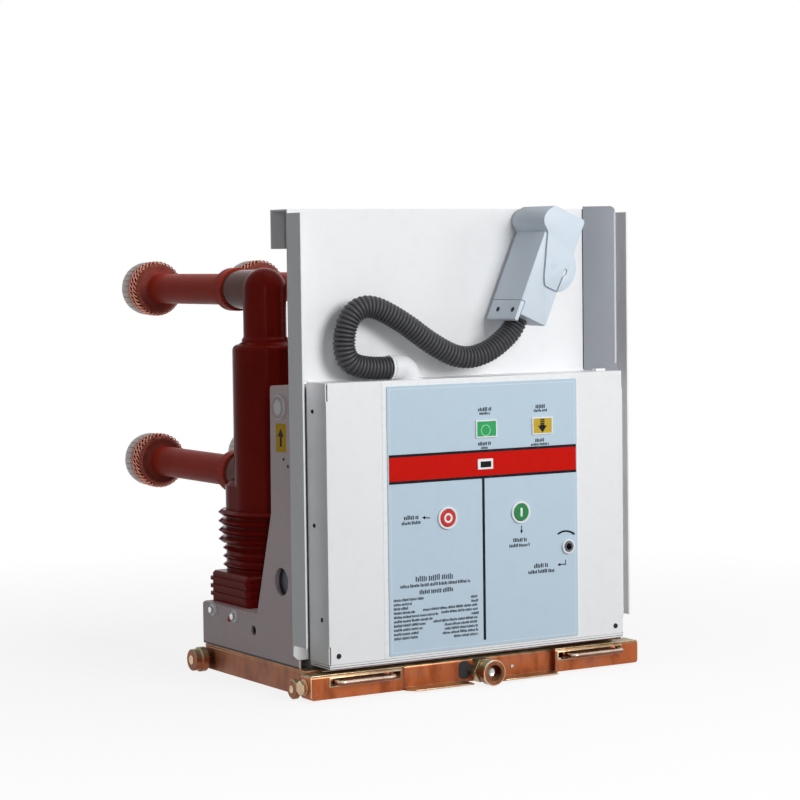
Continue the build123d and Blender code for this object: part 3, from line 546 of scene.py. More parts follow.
# plug on the plate: moulded shell, hose clamp and the pin that carries it, across and along its own tilt
plugSettings = {
    "foot": (80.5, 582), "tilt": 23.6, "front": -34, "rear": 48, "edge": 2.2,
    "shell": [(-30, 23), (-22, 23), (-22, 1), (30, 1), (30, 145), (-30, 145)],
    "shellRounds": {3: 3, 4: 5, 5: 6},
    "clamp": [(-29.6, -11), (-22.6, -11), (-22.6, 22.2), (-29.6, 22.2)],
    "clampRounds": {0: 2.5, 1: 1.5}, "clampInset": 0.5, "clampEdge": 1.2,
    "screwDepths": (-18, 24), "screwRise": 6, "screwHead": [(-0.2, 4.2), (0.4, 4.2), (0.9, 3.36), (0.9, 0)],
    "screwSlot": ((-2.94, -0.6, 0.4), (2.94, 0.6, 1.1)), "slotTurn": 0.5, "slotLift": 0.1,
    "pin": (4.5, 96), "pinRadius": 6, "pinReach": 58, "pinSink": 1,
}
leverSettings = {
    "frontArm": (-38.5, -34.5), "rearArm": (48.5, 52.5), "edge": 1.1,
    "arm": [(-31, 186), (33, 187), (33, 128), (48, 112), (49, 80), (34, 62), (27, 60.5), (28.2, 87), (31.6, 91),
            (31.4, 98), (27.6, 100.5), (24.6, 96), (25.8, 87), (24.8, 60), (2, 60), (-4, 68), (-27, 142), (-43, 153),
            (-43, 170)],
    "armRounds": {0: 3, 1: 6, 2: 5, 3: 14, 4: 15, 5: 8, 14: 2, 15: 6, 16: 4, 17: 8, 18: 8},
    "grip": [(-31, 186), (33, 187), (33, 183), (-28.5, 182), (-39, 170), (-39, 154), (-26, 146), (-27, 142),
             (-43, 153), (-43, 170)],
    "gripRounds": {0: 3, 1: 1.8, 2: 1.8, 3: 3, 4: 5, 5: 5, 8: 8, 9: 8}, "gripOverlap": 1.5, "gripEdge": 0.6,
    "pin": (4.5, 96), "pinRing": [(-0.5, 3.6), (0.6, 3.6), (0.6, 5.2), (-0.5, 5.2)],
}
tilt = math.radians(plugSettings["tilt"])
plugAcross = Vector((math.cos(tilt), 0, -math.sin(tilt)))
plugAlong = Vector((math.sin(tilt), 0, math.cos(tilt)))


def plugPoint(across, along, depth):
    foot = spot(plugSettings["foot"][0], depth, plugSettings["foot"][1])
    return foot + (plugAcross * across + plugAlong * along) * mm


def plugSolid(bm, outline, rounds, front, rear, edge):
    addPlate(bm, outline, rear - front, facing(plugPoint(0, 0, rear), plugAcross, plugAlong), rounds, edge)


def makePlug(settings):
    bm = bmesh.new()
    front, rear, inset = settings["front"], settings["rear"], settings["clampInset"]
    plugSolid(bm, settings["shell"], settings["shellRounds"], front, rear, settings["edge"])
    plugSolid(bm, settings["clamp"], settings["clampRounds"], front + inset, rear - inset, settings["clampEdge"])
    pin = settings["pin"]
    start, end = (plugPoint(*pin, depth) for depth in (rear - settings["pinSink"], settings["pinReach"]))
    addRod(bm, start, end, settings["pinRadius"])
    shell = finishPiece(bm, "plugShell", "bluePlastic", "white_plastic")
    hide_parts("plug_body")
    bm = bmesh.new()
    low, high = (Vector(corner) * mm for corner in settings["screwSlot"])
    lift = Matrix.Translation(-plugAcross * settings["slotLift"] * mm)
    flip = Matrix.Rotation(settings["slotTurn"], 4, "Z") @ Matrix.Scale(-1, 4, (0, 0, 1))
    for depth in settings["screwDepths"]:
        seat = plugPoint(settings["clamp"][0][0], settings["screwRise"], depth)
        addTurned(bm, settings["screwHead"], seat, -plugAcross, 24)
        addBlock(bm, low, high, 0, lift @ facing(seat, (0, 1, 0), plugAlong) @ flip)
    return [shell, finishPiece(bm, "plugClampScrews", "greyInk", "white_plastic")]


def makeLever(settings):
    bm = bmesh.new()
    for arm in ("frontArm", "rearArm"):
        plugSolid(bm, settings["arm"], settings["armRounds"], *settings[arm], settings["edge"])
    overlap = settings["gripOverlap"]
    plugSolid(bm, settings["grip"], settings["gripRounds"], settings["frontArm"][1] - overlap,
              settings["rearArm"][0] + overlap, settings["gripEdge"])
    addTurned(bm, settings["pinRing"], plugPoint(*settings["pin"], settings["frontArm"][0]), (0, -1, 0), 28, True)
    lever = finishPiece(bm, "plugLockLever", "bluePlastic", "white_plastic", "plug_lever")
    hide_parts("plug_lever")


plugPieces = makePlug(plugSettings)
makeLever(leverSettings)
print("plug and lever made")


# elbow gland on the cover's top where the hose goes in
glandSettings = {
    "mouth": (-150, 27, 512), "straight": 18, "bend": 20, "steps": 10, "footHeight": 493,
    "barrel": [(4, 17.2), (0, 17.2), (0, 19.4), (4.5, 19.4), (4.5, 18), (5.5, 18), (5.5, 19), (18, 19)],
    "foot": [(-0.5, 0), (-0.5, 21), (1.5, 21), (2.5, 19)],
}


def makeGland(settings):
    bm = bmesh.new()
    mouth = spot(*settings["mouth"])
    reach, bend = settings["straight"] * mm, settings["bend"] * mm
    addTurned(bm, settings["barrel"], mouth, (1, 0, 0), 40)
    rim = [e for e in bm.edges if e.is_boundary and all(abs(v.co.x - mouth.x - reach) < 1e-6 for v in e.verts)]
    hub = mouth + Vector((reach, 0, -bend))
    bmesh.ops.spin(bm, geom=rim + list({v for e in rim for v in e.verts}), cent=hub, axis=(0, 1, 0), dvec=(0, 0, 0),
                   angle=math.pi / 2, steps=settings["steps"], use_merge=False, use_normal_flip=False,
                   use_duplicate=False)
    bmesh.ops.remove_doubles(bm, verts=bm.verts[:], dist=1e-6)
    addTurned(bm, settings["foot"], Vector((hub.x + bend, hub.y, settings["footHeight"] * mm)), (0, 0, 1), 40)
    gland = finishPiece(bm, "hoseElbow", "whitePlastic", "white_plastic")
    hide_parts("hose_gland")


makeGland(glandSettings)
print("gland made")


# tulip contacts: sprung fingers in a ring over a cage, two garter springs and the shoulder of the sleeve, in a darker
# copy of the sleeve's red as painted shade
tulipSettings = {
    "columns": (-210, 0, 210), "rows": (634, 324), "front": 712, "fingers": 30, "gapDegrees": 0.9,
    "finger": [(3, 29), (5, 38), (8, 43), (10, 44.5), (11, 40), (33, 40), (34.5, 46.8), (45, 47.8), (58, 47.4),
               (67, 45.6), (72.5, 42.5), (75, 38.5), (75, 30), (69, 25.2), (63, 24.6), (30, 24.6), (28, 27.5),
               (9, 27.5)],
    "springPlaces": (16.2, 28.0), "springTurns": 36, "springRadius": 43.4, "coilRadius": 4.8, "wire": 1.15,
    "slant": 5.0, "samplesPerTurn": 10,
    "shoulder": [(0, 26.6), (2, 29), (3.5, 34), (5, 39), (8.5, 41.5), (9.5, 27.2), (30, 27.2), (30, 0)],
    "cage": [(32, 30), (32, 37), (58, 44), (68, 42.5), (73.2, 39), (73.2, 31)],
}


def tulipPlaces(settings):
    return [spot(x, settings["front"], z) for z in settings["rows"] for x in settings["columns"]]


def addFingers(bm, settings, centre):
    before = set(bm.verts)
    step = 2 * math.pi / settings["fingers"]
    wedge = step - math.radians(settings["gapDegrees"])
    outline = [bm.verts.new(centre + Vector((0, along * mm, radius * mm))) for along, radius in settings["finger"]]
    face = bm.faces.new(outline)
    bmesh.ops.spin(bm, geom=outline + face.edges[:] + [face], cent=centre, axis=(0, 1, 0), dvec=(0, 0, 0), angle=wedge,
                   steps=2, use_merge=False, use_normal_flip=False, use_duplicate=False)
    made = vertsSince(bm, before)
    geometry = made + list({e for v in made for e in v.link_edges}) + list({f for v in made for f in v.link_faces})
    bmesh.ops.spin(bm, geom=geometry, cent=centre, axis=(0, 1, 0), dvec=(0, 0, 0), angle=2 * math.pi - step,
                   steps=settings["fingers"] - 1, use_merge=False, use_normal_flip=False, use_duplicate=True)


def springMesh(settings):
    curve = bpy.data.curves.new("garterSprings", "CURVE")
    curve.dimensions = "3D"
    curve.bevel_depth = settings["wire"] * mm
    curve.bevel_resolution = 1
    count = settings["springTurns"] * settings["samplesPerTurn"]
    for centre in tulipPlaces(settings):
        for place in settings["springPlaces"]:
            spline = curve.splines.new("POLY")
            spline.points.add(count - 1)
            spline.use_cyclic_u = True
            for index, point in enumerate(spline.points):
                around = 2 * math.pi * index / count
                coil = 2 * math.pi * index / settings["samplesPerTurn"]
                radius = (settings["springRadius"] + settings["coilRadius"] * math.cos(coil)) * mm
                lean = around + settings["slant"] * mm * math.sin(coil) / radius
                along = (place + settings["coilRadius"] * math.sin(coil)) * mm
                point.co = (*(centre + Vector((radius * math.sin(lean), along, radius * math.cos(lean)))), 1)
    holder = bpy.data.objects.new("garterSprings", curve)
    mesh = bpy.data.meshes.new_from_object(holder)
    bpy.data.objects.remove(holder)
    return mesh


def makeTulips(settings):
    bm = bmesh.new()
    for centre in tulipPlaces(settings):
        addFingers(bm, settings, centre)
    fingers = finishPiece(bm, "tulipFingers", "fingerMetal", "tulip_metal")
    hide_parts("tulip_contacts")
    bm = bmesh.new()
    bm.from_mesh(springMesh(settings))
    finishPiece(bm, "tulipSprings", "springMetal", "tulip_metal", smooth=80)
    for name, profile, closed, look, slot in (("tulipShoulders", "shoulder", False, "shoulder", "sleeve"),
                                              ("tulipCages", "cage", True, "darkSteel", "tulip_metal")):
        bm = bmesh.new()
        for centre in tulipPlaces(settings):
            addTurned(bm, settings[profile], centre, (0, 1, 0), 48, closed)
        finishPiece(bm, name, look, slot)


makeTulips(tulipSettings)
print("tulip contacts made")


# slanted stiffener in the plate's right corner, with a rounded head, a foot tab and a strip of the plain white paint on
# its front edge; its face is darkened grey as painted shade
channelSettings = {"root": (250, 58), "edge": (286, 17), "foot": 493, "head": 765, "sheet": 3, "corner": 9,
                   "soften": 0.6, "edgeStripFoot": 12, "edgeStripWidth": 1.6, "edgeStripProud": 0.4, "edgeStripWrap": 0.3,
                   "tab": ((244, 16, 492.8), (263, 28, 497)), "darkLine": ((247.6, 57.4, 493), (249.4, 58.2, 760))}


def makeChannel(settings):
    bm = bmesh.new()
    root, edge = (spot(*settings[key], settings["foot"]) for key in ("root", "edge"))
    width, height = (edge - root).length / mm, settings["head"] - settings["foot"]
    plane = facing(root, (edge - root).normalized(), (0, 0, 1))
    corner, sheet, wrap = settings["corner"], settings["sheet"], settings["edgeStripWrap"]
    addPlate(bm, corners(0, 0, width, height), sheet, plane, {2: corner}, settings["soften"], 8)
    channel = finishPiece(bm, "cornerStiffener", "stiffenerShadePaint", "white_paint")
    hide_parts("corner_channel")
    bm = bmesh.new()
    outline = corners(width - settings["edgeStripWidth"], settings["edgeStripFoot"],
                      width + settings["edgeStripProud"], height - corner)
    addPlate(bm, outline, sheet + 2 * wrap, plane @ Matrix.Translation((0, 0, -wrap * mm)))
    addSpan(bm, *settings["tab"], 0.8)
    finishPiece(bm, "stiffenerEdge", "whitePaint", "white_paint")
    # a dark line along the stiffener's root: painted shade in its corner with the plate
    bm = bmesh.new()
    addSpan(bm, *settings["darkLine"])
    finishPiece(bm, "stiffenerCornerShade", "greyInk", "white_paint")


makeChannel(channelSettings)
print("stiffener made")


# small fasteners and marks shared by the details below
panScrewShares = ((0.15, 1), (0.45, 0.8), (0.55, 0.4), (0.56, 0.22), (0.25, 0.18), (0.25, 0))


def addHexBolt(bm, seat, axis, flats, height, washer=0):
    axis, start = Vector(axis), -0.5
    if washer:
        profile = [(-0.5, 0), (-0.5, washer), (1.2, washer), (1.6, washer - 0.4), (1.6, 0)]
        addTurned(bm, profile, seat, axis, 28)
        start = 1.5
    addStud(bm, Vector(seat), axis, -start, start + height, flats / math.sqrt(3), 6, height * 0.12)


def addPanScrew(bm, seat, axis, radius):
    profile = [(-0.5, radius)] + [(radius * along, radius * share) for along, share in panScrewShares]
    addTurned(bm, profile, seat, axis, 20)


def addRing(bm, centre, axis, inner, outer, height):
    addTurned(bm, [(-0.3, inner), (height, inner), (height, outer), (-0.3, outer)], centre, axis, 36, True)


def addArrow(bm, plane, tail, head, width, headWidth, headLength, height):
    tail, head = Vector(tail), Vector(head)
    way = (head - tail).normalized()
    aside = Vector((-way.y, way.x))
    neck = head - way * headLength
    outline = [tail + aside * width / 2, neck + aside * width / 2, neck + aside * headWidth / 2, head,
               neck - aside * headWidth / 2, neck - aside * width / 2, tail - aside * width / 2]
    addPlate(bm, outline[::-1], height, plane)


# printed film: borders, dividers, unreadable rows of strokes, arrows and window frames; rows are x, x, height, size
printSettings = {
    "face": -6, "ink": 0.18, "sink": 0.1, "seed": 24,
    "border": {"inset": 4.5, "width": 0.9, "height": 0.14},
    "divider": (1.7, 71, 6.5, 332), "ruleHeight": 0.8,
    "bandRules": ((-171.5, 330.8, 185.5, 335.2), (-171.5, 372.3, 185.5, 376.7)),
    "stroke": {"width": (0.26, 0.5), "drop": (0.4, 0.5), "height": (0.65, 1.0), "broadest": 2.1, "gap": 0.16,
               "wordGap": 0.4, "word": 6, "stop": 0.3},
    "rows": [(-4.4, 21.5, 441.1, 6.5), (-1.9, 18.3, 434.7, 4.7), (-5.1, 20.3, 386.1, 6.0), (0.5, 15.0, 379.6, 4.3),
             (106.7, 126.6, 441.3, 7.0), (103.1, 129.2, 434.7, 4.8), (105.5, 126.0, 386.5, 6.1),
             (97.2, 132.6, 380.0, 4.8), (-145.3, -117.8, 276.8, 7.2), (-149.7, -113.0, 268.3, 5.5),
             (60.6, 88.3, 227.2, 7.0), (53.1, 94.9, 218.4, 5.7), (101.1, 129.1, 182.4, 7.5), (89.4, 141.1, 172.9, 6.2),
             (-125.1, -49.4, 179.0, 9.8), (-153.4, -22.9, 168.8, 5.5), (-118.2, -55.5, 157.9, 7.7)],
    "table": {"left": -166, "right": -8, "head": 147.9, "pitch": 6.71, "size": 4.4, "rightDrop": 5.0,
              "leftEnds": (-110, -133, -139, -127, -83, -93, -107, -112, -119, -121),
              "rightStarts": (-22, -21, -112, -78, -21, -93, -72, -72, -76, -55)},
    "arrows": [((-97, 274), (-112, 275.5)), ((77, 250), (77, 236.5)), ((158, 181), (147, 181))],
    "arrowWidth": 1.6, "arrowHead": (5.5, 6.0), "elbow": ((162.4, 179.4, 164, 188), (157, 180.2, 164, 181.8)),
    "turnMark": {"centre": (163, 206.6), "radius": 27, "width": 3.0, "from": 59, "sweep": 62, "steps": 16, "start": 0.1,
                 "headFrom": -0.5, "headTo": 6},
    "windows": ((10, 410, 18, 12, 1.8), (118.5, 410, 18, 12, 1.8)), "windowHeight": 2.6,
    "margins": ((-182, 57.6, -173.5, 490), (187.5, 57.6, 192, 490), (-173.5, 57.6, 187.5, 61.6),
                (-173.5, 483.4, 187.5, 490)), "marginDepths": (-4.5, -3.8),
}


def addInk(bm, x0, z0, x1, z1, settings, height=None):
    face, top = settings["face"], settings["ink"] if height is None else height
    addSpan(bm, (x0, face - top, z0), (x1, face + settings["sink"], z1))


def addStrokes(bm, draw, x0, x1, z, size, settings):
    look, place, letters = settings["stroke"], x0, 0
    while place < x1 - size * look["stop"]:
        width = min(size * draw.uniform(*look["width"]), look["broadest"])
        low = z - size * draw.uniform(*look["drop"])
        addInk(bm, place, low, place + width, low + size * draw.uniform(*look["height"]), settings)
        letters += 1
        place += width + size * look["gap" if letters % look["word"] else "wordGap"]


def addOpenFrame(bm, x, z, halfWidth, halfHeight, width, settings, height):
    outerX, outerZ = halfWidth + width, halfHeight + width
    for x0, z0, x1, z1 in ((-outerX, halfHeight, outerX, outerZ), (-outerX, -outerZ, outerX, -halfHeight),
                           (-outerX, -halfHeight, -halfWidth, halfHeight),
                           (halfWidth, -halfHeight, outerX, halfHeight)):
        addInk(bm, x + x0, z + z0, x + x1, z + z1, settings, height)


def addTurnMark(bm, plane, settings):
    # a curved bar spun from a thin block, then its arrow head
    mark = settings["turnMark"]
    centre = spot(mark["centre"][0], settings["face"], mark["centre"][1])
    angle, start = math.radians(mark["from"]), mark["start"]
    before = set(bm.verts)
    addBlock(bm, Vector((mark["radius"], -settings["ink"], -start)) * mm,
             Vector((mark["radius"] + mark["width"], settings["sink"], start)) * mm)
    turn = Matrix.Translation(centre) @ Matrix.Rotation(-angle, 4, "Y")
    bmesh.ops.transform(bm, matrix=turn, verts=vertsSince(bm, before))
    way = Vector((-math.sin(angle), 0, math.cos(angle)))
    lead = [f for f in bm.faces if all(v not in before for v in f.verts)
            and (f.calc_center_median() - centre).dot(way) > 0.9 * start * mm]
    bmesh.ops.spin(bm, geom=lead, cent=centre, axis=(0, -1, 0), dvec=(0, 0, 0), angle=math.radians(mark["sweep"]),
                   steps=mark["steps"], use_merge=False, use_normal_flip=False, use_duplicate=False)
    middle = mark["radius"] + mark["width"] / 2
    tip = Vector(mark["centre"]) + middle * Vector((math.cos(angle), math.sin(angle)))
    heading = Vector((math.sin(angle), -math.cos(angle)))
    addArrow(bm, plane, tip + heading * mark["headFrom"], tip + heading * mark["headTo"], mark["width"],
             *settings["arrowHead"], settings["ink"] + settings["sink"])


def makePrint(settings):
    draw = random.Random(settings["seed"])
    low, high = panelLow / mm, panelHigh / mm
    plane = frontFacing(settings["face"] + settings["sink"])
    bm = bmesh.new()
    for row in settings["rows"]:
        addStrokes(bm, draw, *row, settings)
    table = settings["table"]
    for index, (leftEnd, rightStart) in enumerate(zip(table["leftEnds"], table["rightStarts"])):
        z = table["head"] - index * table["pitch"]
        addStrokes(bm, draw, table["left"], leftEnd, z, table["size"], settings)
        addStrokes(bm, draw, rightStart, table["right"], z - table["rightDrop"], table["size"], settings)
    finishPiece(bm, "panelStrokes", "greyInk", "panel_film")
    bm = bmesh.new()
    addInk(bm, *settings["divider"], settings)
    for rule in settings["bandRules"]:
        addInk(bm, *rule, settings, settings["ruleHeight"])
    for tail, head in settings["arrows"]:
        addArrow(bm, plane, tail, head, settings["arrowWidth"], *settings["arrowHead"],
                 settings["ink"] + settings["sink"])
    for bar in settings["elbow"]:
        addInk(bm, *bar, settings)
    addTurnMark(bm, plane, settings)
    finishPiece(bm, "panelMarks", "blackInk", "panel_film")
    bm = bmesh.new()
    border = settings["border"]
    around = border["inset"] + border["width"]
    middle, half = (low + high) / 2, (high - low) / 2
    addOpenFrame(bm, middle.x, middle.z, half.x - around, half.z - around, border["width"], settings, border["height"])
    finishPiece(bm, "panelBorder", "filmEdge", "panel_film")
    bm = bmesh.new()
    for window in settings["windows"]:
        addOpenFrame(bm, *window, settings, settings["windowHeight"])
    near, far = settings["marginDepths"]
    for x0, z0, x1, z1 in settings["margins"]:
        addSpan(bm, (x0, near, z0), (x1, far, z1))
    finishPiece(bm, "windowFrames", "whiteInk", "white_plastic")


makePrint(printSettings)
print("panel print made")


# marks in the windows, on the buttons and round the charging socket: place, inner and outer radius, height
markSettings = {
    "openRing": ((-65, -9.5, 272), 4.6, 7.8, 0.3),
    "closeBar": ((73, -9.8, 265), (77, -9.2, 279), 0.2),
    "stateRing": ((8.5, -8, 407.5), 7.8, 9.2, 0.3),
    "chargeArrow": ((118.5, 412), (118.5, 399), 8, 17.5, 11, 0.6), "chargeDepths": (-8.3, -7.7),
    "stripeX": (114.5, 122.5), "stripes": (413.5, 416.5, 419.5), "stripeRise": 1,
    "counterGlass": ((-2.5, -9.25, 348.5), (17.5, -8.9, 358.1)),
    "socketRing": ((168, -6, 210), 9.4, 11.6, 0.9),
}


def makeRing(mark, *dress):
    bm = bmesh.new()
    addRing(bm, spot(*mark[0]), (0, -1, 0), *mark[1:])
    finishPiece(bm, *dress)


def makeMarks(settings):
    makeRing(settings["openRing"], "openButtonRing", "whiteInk", "red_button", "open_button")
    bm = bmesh.new()
    addSpan(bm, *settings["closeBar"])
    finishPiece(bm, "closeButtonBar", "whiteInk", "green_button", "close_button")
    makeRing(settings["stateRing"], "stateRing", "paleGreen", "green_window")
    bm = bmesh.new()
    near, far = settings["chargeDepths"]
    addArrow(bm, frontFacing(far), *settings["chargeArrow"])
    (x0, x1), rise = settings["stripeX"], settings["stripeRise"]
    for z in settings["stripes"]:
        addSpan(bm, (x0, near, z - rise), (x1, far, z + rise))
    finishPiece(bm, "chargeArrow", "blackInk", "yellow_window")
    bm = bmesh.new()
    addSpan(bm, *settings["counterGlass"])
    finishPiece(bm, "counterGlass", "blackInk", "dark_window")
    makeRing(settings["socketRing"], "chargeSocketRing", "whitePlastic", "white_plastic")


makeMarks(markSettings)
print("marks made")


# screws and seams of the front cover, a painted shadow under the sill and a painted shade patch for a slot in each side
coverSettings = {"frontScrew": (265, -4, 70), "screwRadius": 4.2, "sideScrews": ((282, 38, 448), (282, 37, 270.5)),
                 "sideRadius": 3.4, "seams": (57, 53), "seamRise": 0.35, "seamReach": 281.4, "seamDepths": (-3.15, 45),
                 "underSillShadow": ((-280, 28, 45), (280, 30, 50)),
                 "topSeal": ((-281, 56.6, 492.4), (281, 58.4, 495.2), 0.3),
                 "sideSlotShade": ((281.5, 14.2, 122), (282.15, 21, 128.8))}


def makeCoverDetails(settings):
    bm = bmesh.new()
    for side in (-1, 1):
        x, depth, z = settings["frontScrew"]
        addPanScrew(bm, spot(side * x, depth, z), (0, -1, 0), settings["screwRadius"])
        for x, depth, z in settings["sideScrews"]:
            addPanScrew(bm, spot(side * x, depth, z), (side, 0, 0), settings["sideRadius"])
    finishPiece(bm, "coverScrews", "greyInk", "steel")
    bm = bmesh.new()
    reach, rise, (near, far) = settings["seamReach"], settings["seamRise"], settings["seamDepths"]
    for z in settings["seams"]:
        addSpan(bm, (-reach, near, z - rise), (reach, far, z + rise))
    finishPiece(bm, "coverFootSeal", "greyInk", "white_paint")
    bm = bmesh.new()
    addSpan(bm, *settings["topSeal"])
    finishPiece(bm, "coverTopSeal", "whitePaint", "white_paint")
    # a black strip under the sill is a painted shadow, and a dark patch on each side is the painted shade of a slot
    bm = bmesh.new()
    addSpan(bm, *settings["underSillShadow"])
    for side in (-1, 1):
        addSpan(bm, *settings["sideSlotShade"], side=side)
    finishPiece(bm, "coverPaintedShade", "shadeAndSeamBlack", "white_paint")


makeCoverDetails(coverSettings)
print("cover details made")


# fasteners, lifting tag and rings on the frame's two sides, with painted shade in the ports and a painted shadow along
# the feet, places as depth and height
sideSettings = {
    "face": 300, "bolts": ((350.4, 104.4), (273.7, 102.3)), "boltFlats": 10, "boltHeight": 6, "boltSeat": 2.2,
    "washer": [(-0.4, 0), (-0.4, 11), (1.8, 11), (2.4, 10.2), (2.4, 0)],
    "plug": (294.4, 95.2), "plugShape": (0.5, 1.5, 4.2, 24, 0.5),
    "rivets": ((100, 370.7), (86.6, 360.4)), "rivetShape": (0.4, 0.5, 2.6, 16),
    "tag": (108, 404), "tagHalf": (16.5, 22.5), "tagCorner": 1.5, "tagSheet": 0.3,
    "tagArrow": ((0, -14), (0, 15), 6, 18, 13, 0.5),
    "liftRing": (304, 111, 452), "liftShape": (13, 17.5, 1.2), "port": (290, 114, 176), "portShape": (0, 2, 21.6, 40),
    "footShadow": ((299.6, 61, 45), (300.2, 388, 47.6)),
    "pieces": {"sideBolts": ("steel", "steel"), "sideWashers": ("whitePlastic", "white_plastic"),
               "sidePlugs": ("redDot", "red_band"), "sideRivets": ("greyInk", "steel"),
               "liftingTags": ("yellowTag", "yellow_window"), "liftingArrows": ("blackInk", "dark_window"),
               "liftingRings": ("pinkRing", "white_plastic"), "portAndFootShade": ("shadeNavy", "dark_window")},
}


def makeSideDetails(settings):
    made = {name: bmesh.new() for name in settings["pieces"]}
    for side in (-1, 1):
        axis, face = Vector((side, 0, 0)), side * settings["face"]
        for place in settings["bolts"]:
            seat = spot(face, *place)
            addTurned(made["sideWashers"], settings["washer"], seat, axis, 32)
            addHexBolt(made["sideBolts"], seat + axis * settings["boltSeat"] * mm, axis, settings["boltFlats"],
                       settings["boltHeight"])
        addStud(made["sidePlugs"], spot(face, *settings["plug"]), axis, *settings["plugShape"])
        for place in settings["rivets"]:
            addStud(made["sideRivets"], spot(face, *place), axis, *settings["rivetShape"])
        plane = facing(spot(face, *settings["tag"]), (0, side, 0), (0, 0, 1))
        width, height = settings["tagHalf"]
        rounds = dict.fromkeys(range(4), settings["tagCorner"])
        addPlate(made["liftingTags"], corners(-width, -height, width, height), settings["tagSheet"], plane, rounds)
        addArrow(made["liftingArrows"], plane, *settings["tagArrow"])
        x, depth, z = settings["liftRing"]
        addRing(made["liftingRings"], spot(side * x, depth, z), axis, *settings["liftShape"])
        # a dark disc in the port is painted shade, and a strip along the foot is a painted shadow
        x, depth, z = settings["port"]
        addStud(made["portAndFootShade"], spot(side * x, depth, z), axis, *settings["portShape"])
        addSpan(made["portAndFootShade"], *settings["footShadow"], side=side)
    for name, dress in settings["pieces"].items():
        finishPiece(made[name], name, *dress)


makeSideDetails(sideSettings)
print("side details made")


# truck details: pressed rims round the handle slots, screws, painted highlights along edges, painted shade in the slots
# and the drive hole, dark joint lines and wheel clips
truckSettings = {
    "slot": (151.8, 24.3, 278.2, 35.7), "rim": 2.2, "rimDepths": (0.4, -1.4, 0), "rimEdge": 0.8,
    "webScrew": (65, 8, 20.5), "webScrewRadius": 3.6, "endBolt": (313, 22, 22.5), "endBoltShape": (20, 7, 12.5),
    "shaft": (0, -24, 22.5), "shaftEnd": [(0, 8.5), (4, 8.16), (5, 6.8), (3.5, 4.25), (3.5, 0)],
    "driveHoleShade": (-38, 9, -16, 38), "holeCorner": 9, "holeSheet": 0.5, "holeDepth": 8.3,
    "darkLine": ((144.5, -0.1, 5), (145.5, 1, 41.5)), "slotShade": ((149, 29.4, 20.5), (281, 30.4, 39.5)),
    "wearAndGlints": (((145.5, -0.2, 40.7), (312, 1.2, 42.15)), ((311.8, -0.2, 8), (313.15, 1.4, 40)),
             ((33, -22.2, 4.4), (136, -21, 6.3))), "glintEdge": 0.3,
    "socket": (0, -40, 22.5), "socketGlint": [(-0.2, 19), (-0.2, 20.1), (0.5, 20.7), (3, 20.7), (3, 19)],
    "wheels": {"front": (317.3, 54, 15.5, 6), "rear": (332.3, 370, 20.5, 7.5)}, "clipLip": 0.6,
    "clipCentre": [(1.3, 4.2), (0.4, 3.6), (0.4, 0)], "clipEdge": (-0.5, 0.9, 1.3),
}


def addSlotRim(bm, side, settings):
    x0, low, x1, high = settings["slot"]
    x0, x1 = sorted((side * x0, side * x1))
    rim = settings["rim"]
    inner, outer = corners(x0, low, x1, high), corners(x0 - rim, low - rim, x1 + rim, high + rim)
    loops = []
    for points, depth in zip((inner, inner, outer), settings["rimDepths"]):
        verts = [bm.verts.new(spot(x, depth, z)) for x, z in points]
        loops.append([bm.edges.new((verts[i], verts[(i + 1) % 4])) for i in range(4)])
    for first, second in zip(loops, loops[1:]):
        bmesh.ops.bridge_loops(bm, edges=first + second)


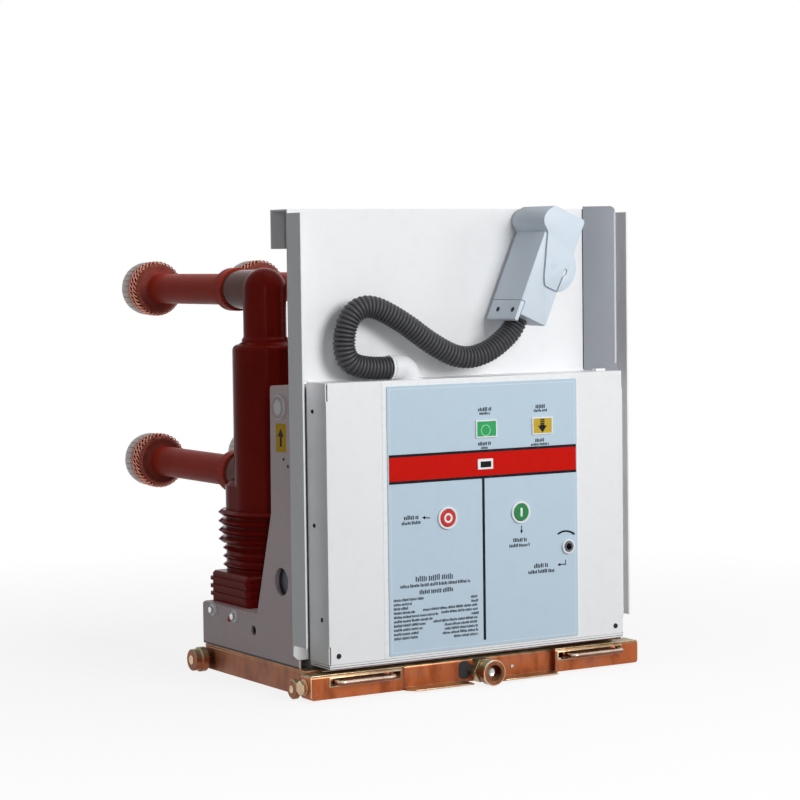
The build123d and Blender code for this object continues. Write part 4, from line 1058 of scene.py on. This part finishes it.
def makeTruckDetails(settings):
    sides = {"left": -1, "right": 1}
    bm = bmesh.new()
    for side in sides.values():
        addSlotRim(bm, side, settings)
    crest = atDepth(settings["rimDepths"][1])
    softenEdges(bm, [e for e in bm.edges if all(abs(v.co.y - crest) < 1e-7 for v in e.verts)], settings["rimEdge"], 3)
    finishPiece(bm, "slotRims", "oliveZinc", "yellow_zinc")
    bm = bmesh.new()
    addPanScrew(bm, spot(*settings["webScrew"]), (0, -1, 0), settings["webScrewRadius"])
    finishPiece(bm, "webScrew", "steel", "steel")
    bm = bmesh.new()
    x, depth, z = settings["endBolt"]
    for side in sides.values():
        addHexBolt(bm, spot(side * x, depth, z), (side, 0, 0), *settings["endBoltShape"])
    finishPiece(bm, "beamEndBolts", "brightZinc", "yellow_zinc")
    bm = bmesh.new()
    addTurned(bm, settings["shaftEnd"], spot(*settings["shaft"]), (0, -1, 0), 28)
    finishPiece(bm, "driveShaftEnd", "steel", "steel", "drive_socket")
    # black plate in the drive hole and strips behind the slots: painted shade; the strips at the beam joints are dark
    # joint lines
    bm = bmesh.new()
    addPlate(bm, corners(*settings["driveHoleShade"]), settings["holeSheet"], frontFacing(settings["holeDepth"]),
             dict.fromkeys(range(4), settings["holeCorner"]))
    for side in sides.values():
        addSpan(bm, *settings["darkLine"], side=side)
        addSpan(bm, *settings["slotShade"], side=side)
    finishPiece(bm, "truckShadeAndSeams", "shadeAndSeamBlack", "yellow_zinc")
    # bright strips along the beam's edges and lip: painted highlights
    bm = bmesh.new()
    for side in sides.values():
        for low, high in settings["wearAndGlints"]:
            addSpan(bm, low, high, settings["glintEdge"], side)
    finishPiece(bm, "beamEdgeGlints", "brightZinc", "yellow_zinc")
    # a bright ring on the socket rim: painted highlight
    bm = bmesh.new()
    addTurned(bm, settings["socketGlint"], spot(*settings["socket"]), (0, 1, 0), 48, True)
    finishPiece(bm, "socketRimGlint", "brightZinc", "yellow_zinc", "drive_socket")
    sink, rise, crown = settings["clipEdge"]
    for end, (x, depth, z, radius) in settings["wheels"].items():
        rim = [(sink, radius), (rise, radius), (crown, radius - settings["clipLip"])]
        for label, side in sides.items():
            bm = bmesh.new()
            addTurned(bm, rim + settings["clipCentre"], spot(side * x, depth, z), (side, 0, 0), 32)
            finishPiece(bm, "wheelClip" + end.capitalize() + label.capitalize(), "brightZinc", "yellow_zinc",
                        f"wheel_{end}_{label}")


makeTruckDetails(truckSettings)
print("truck details made")


# CAD nodes that keep their shape: finish and softened edges
dressed = {
    "railZinc": {"chassis_rails": 1.0, "chassis_rear_bar": 1.0, "wheel_axles": 0.6, "wheel_front_left": 0,
                 "wheel_front_right": 0, "wheel_rear_left": 0, "wheel_rear_right": 0, "drive_socket": 0},
    "zinc": {"beam_ends": 1.2, "beam_centre": 0.8, "chassis_deck": 0.8},
    "handleZinc": {"pull_handle_left": 0, "pull_handle_right": 0},
    "oliveZinc": {"drive_bearing": 0.8},
    # frame sides and base take the paint with its painted shade
    "shadedPaint": {"frame_side_plates": 0.8, "base_deck": 0.6, "base_rear_wall": 0.8, "bay_rear_wall": 0.6,
                  "bay_top": 0.6},
    "bayGrey": {"mechanism_housing": 0},
    "whitePaint": {"front_sill": 0.6, "front_cover": 0.8, "back_plate": 0.6, "plate_side_flanges": 0.7,
                   "plate_top_flange": 0.7},
    "film": {"front_panel": 0.4},
    "redFilm": {"title_band": 0.2},
    "whiteInk": {"counter_window": 0.4},
    "greenFlag": {"state_window": 0.4},
    "yellowFlag": {"charge_window": 0.4},
    "redKnob": {"open_button": 0},
    "greenKnob": {"close_button": 0},
    "whitePlastic": {"button_bezels": 0.5, "lifting_plugs": 0.8},
    "darkSteel": {"charging_socket": 0},
    "epoxy": {"pole_left": 0, "pole_middle": 0, "pole_right": 0},
    "collar": {"contact_arms": 0},
    "sleeve": {"arm_sleeves": 0},
}


def dressNode(name, material, edge):
    node = nodes[name]
    node.data.materials.clear()
    node.data.materials.append(material)
    if edge:
        weld = node.modifiers.new("weld", "WELD")
        weld.merge_threshold = 1e-5
        flat = node.modifiers.new("flat", "DECIMATE")
        flat.decimate_type = "DISSOLVE"
        flat.angle_limit = math.radians(0.5)
        soft = node.modifiers.new("soft", "BEVEL")
        soft.width = edge * mm
        soft.segments = 2
        soft.limit_method = "ANGLE"
        soft.angle_limit = math.radians(35)


for finishName, group in dressed.items():
    for nodeName, edge in group.items():
        dressNode(nodeName, finish[finishName], edge)
print("nodes dressed:", sum(len(group) for group in dressed.values()))
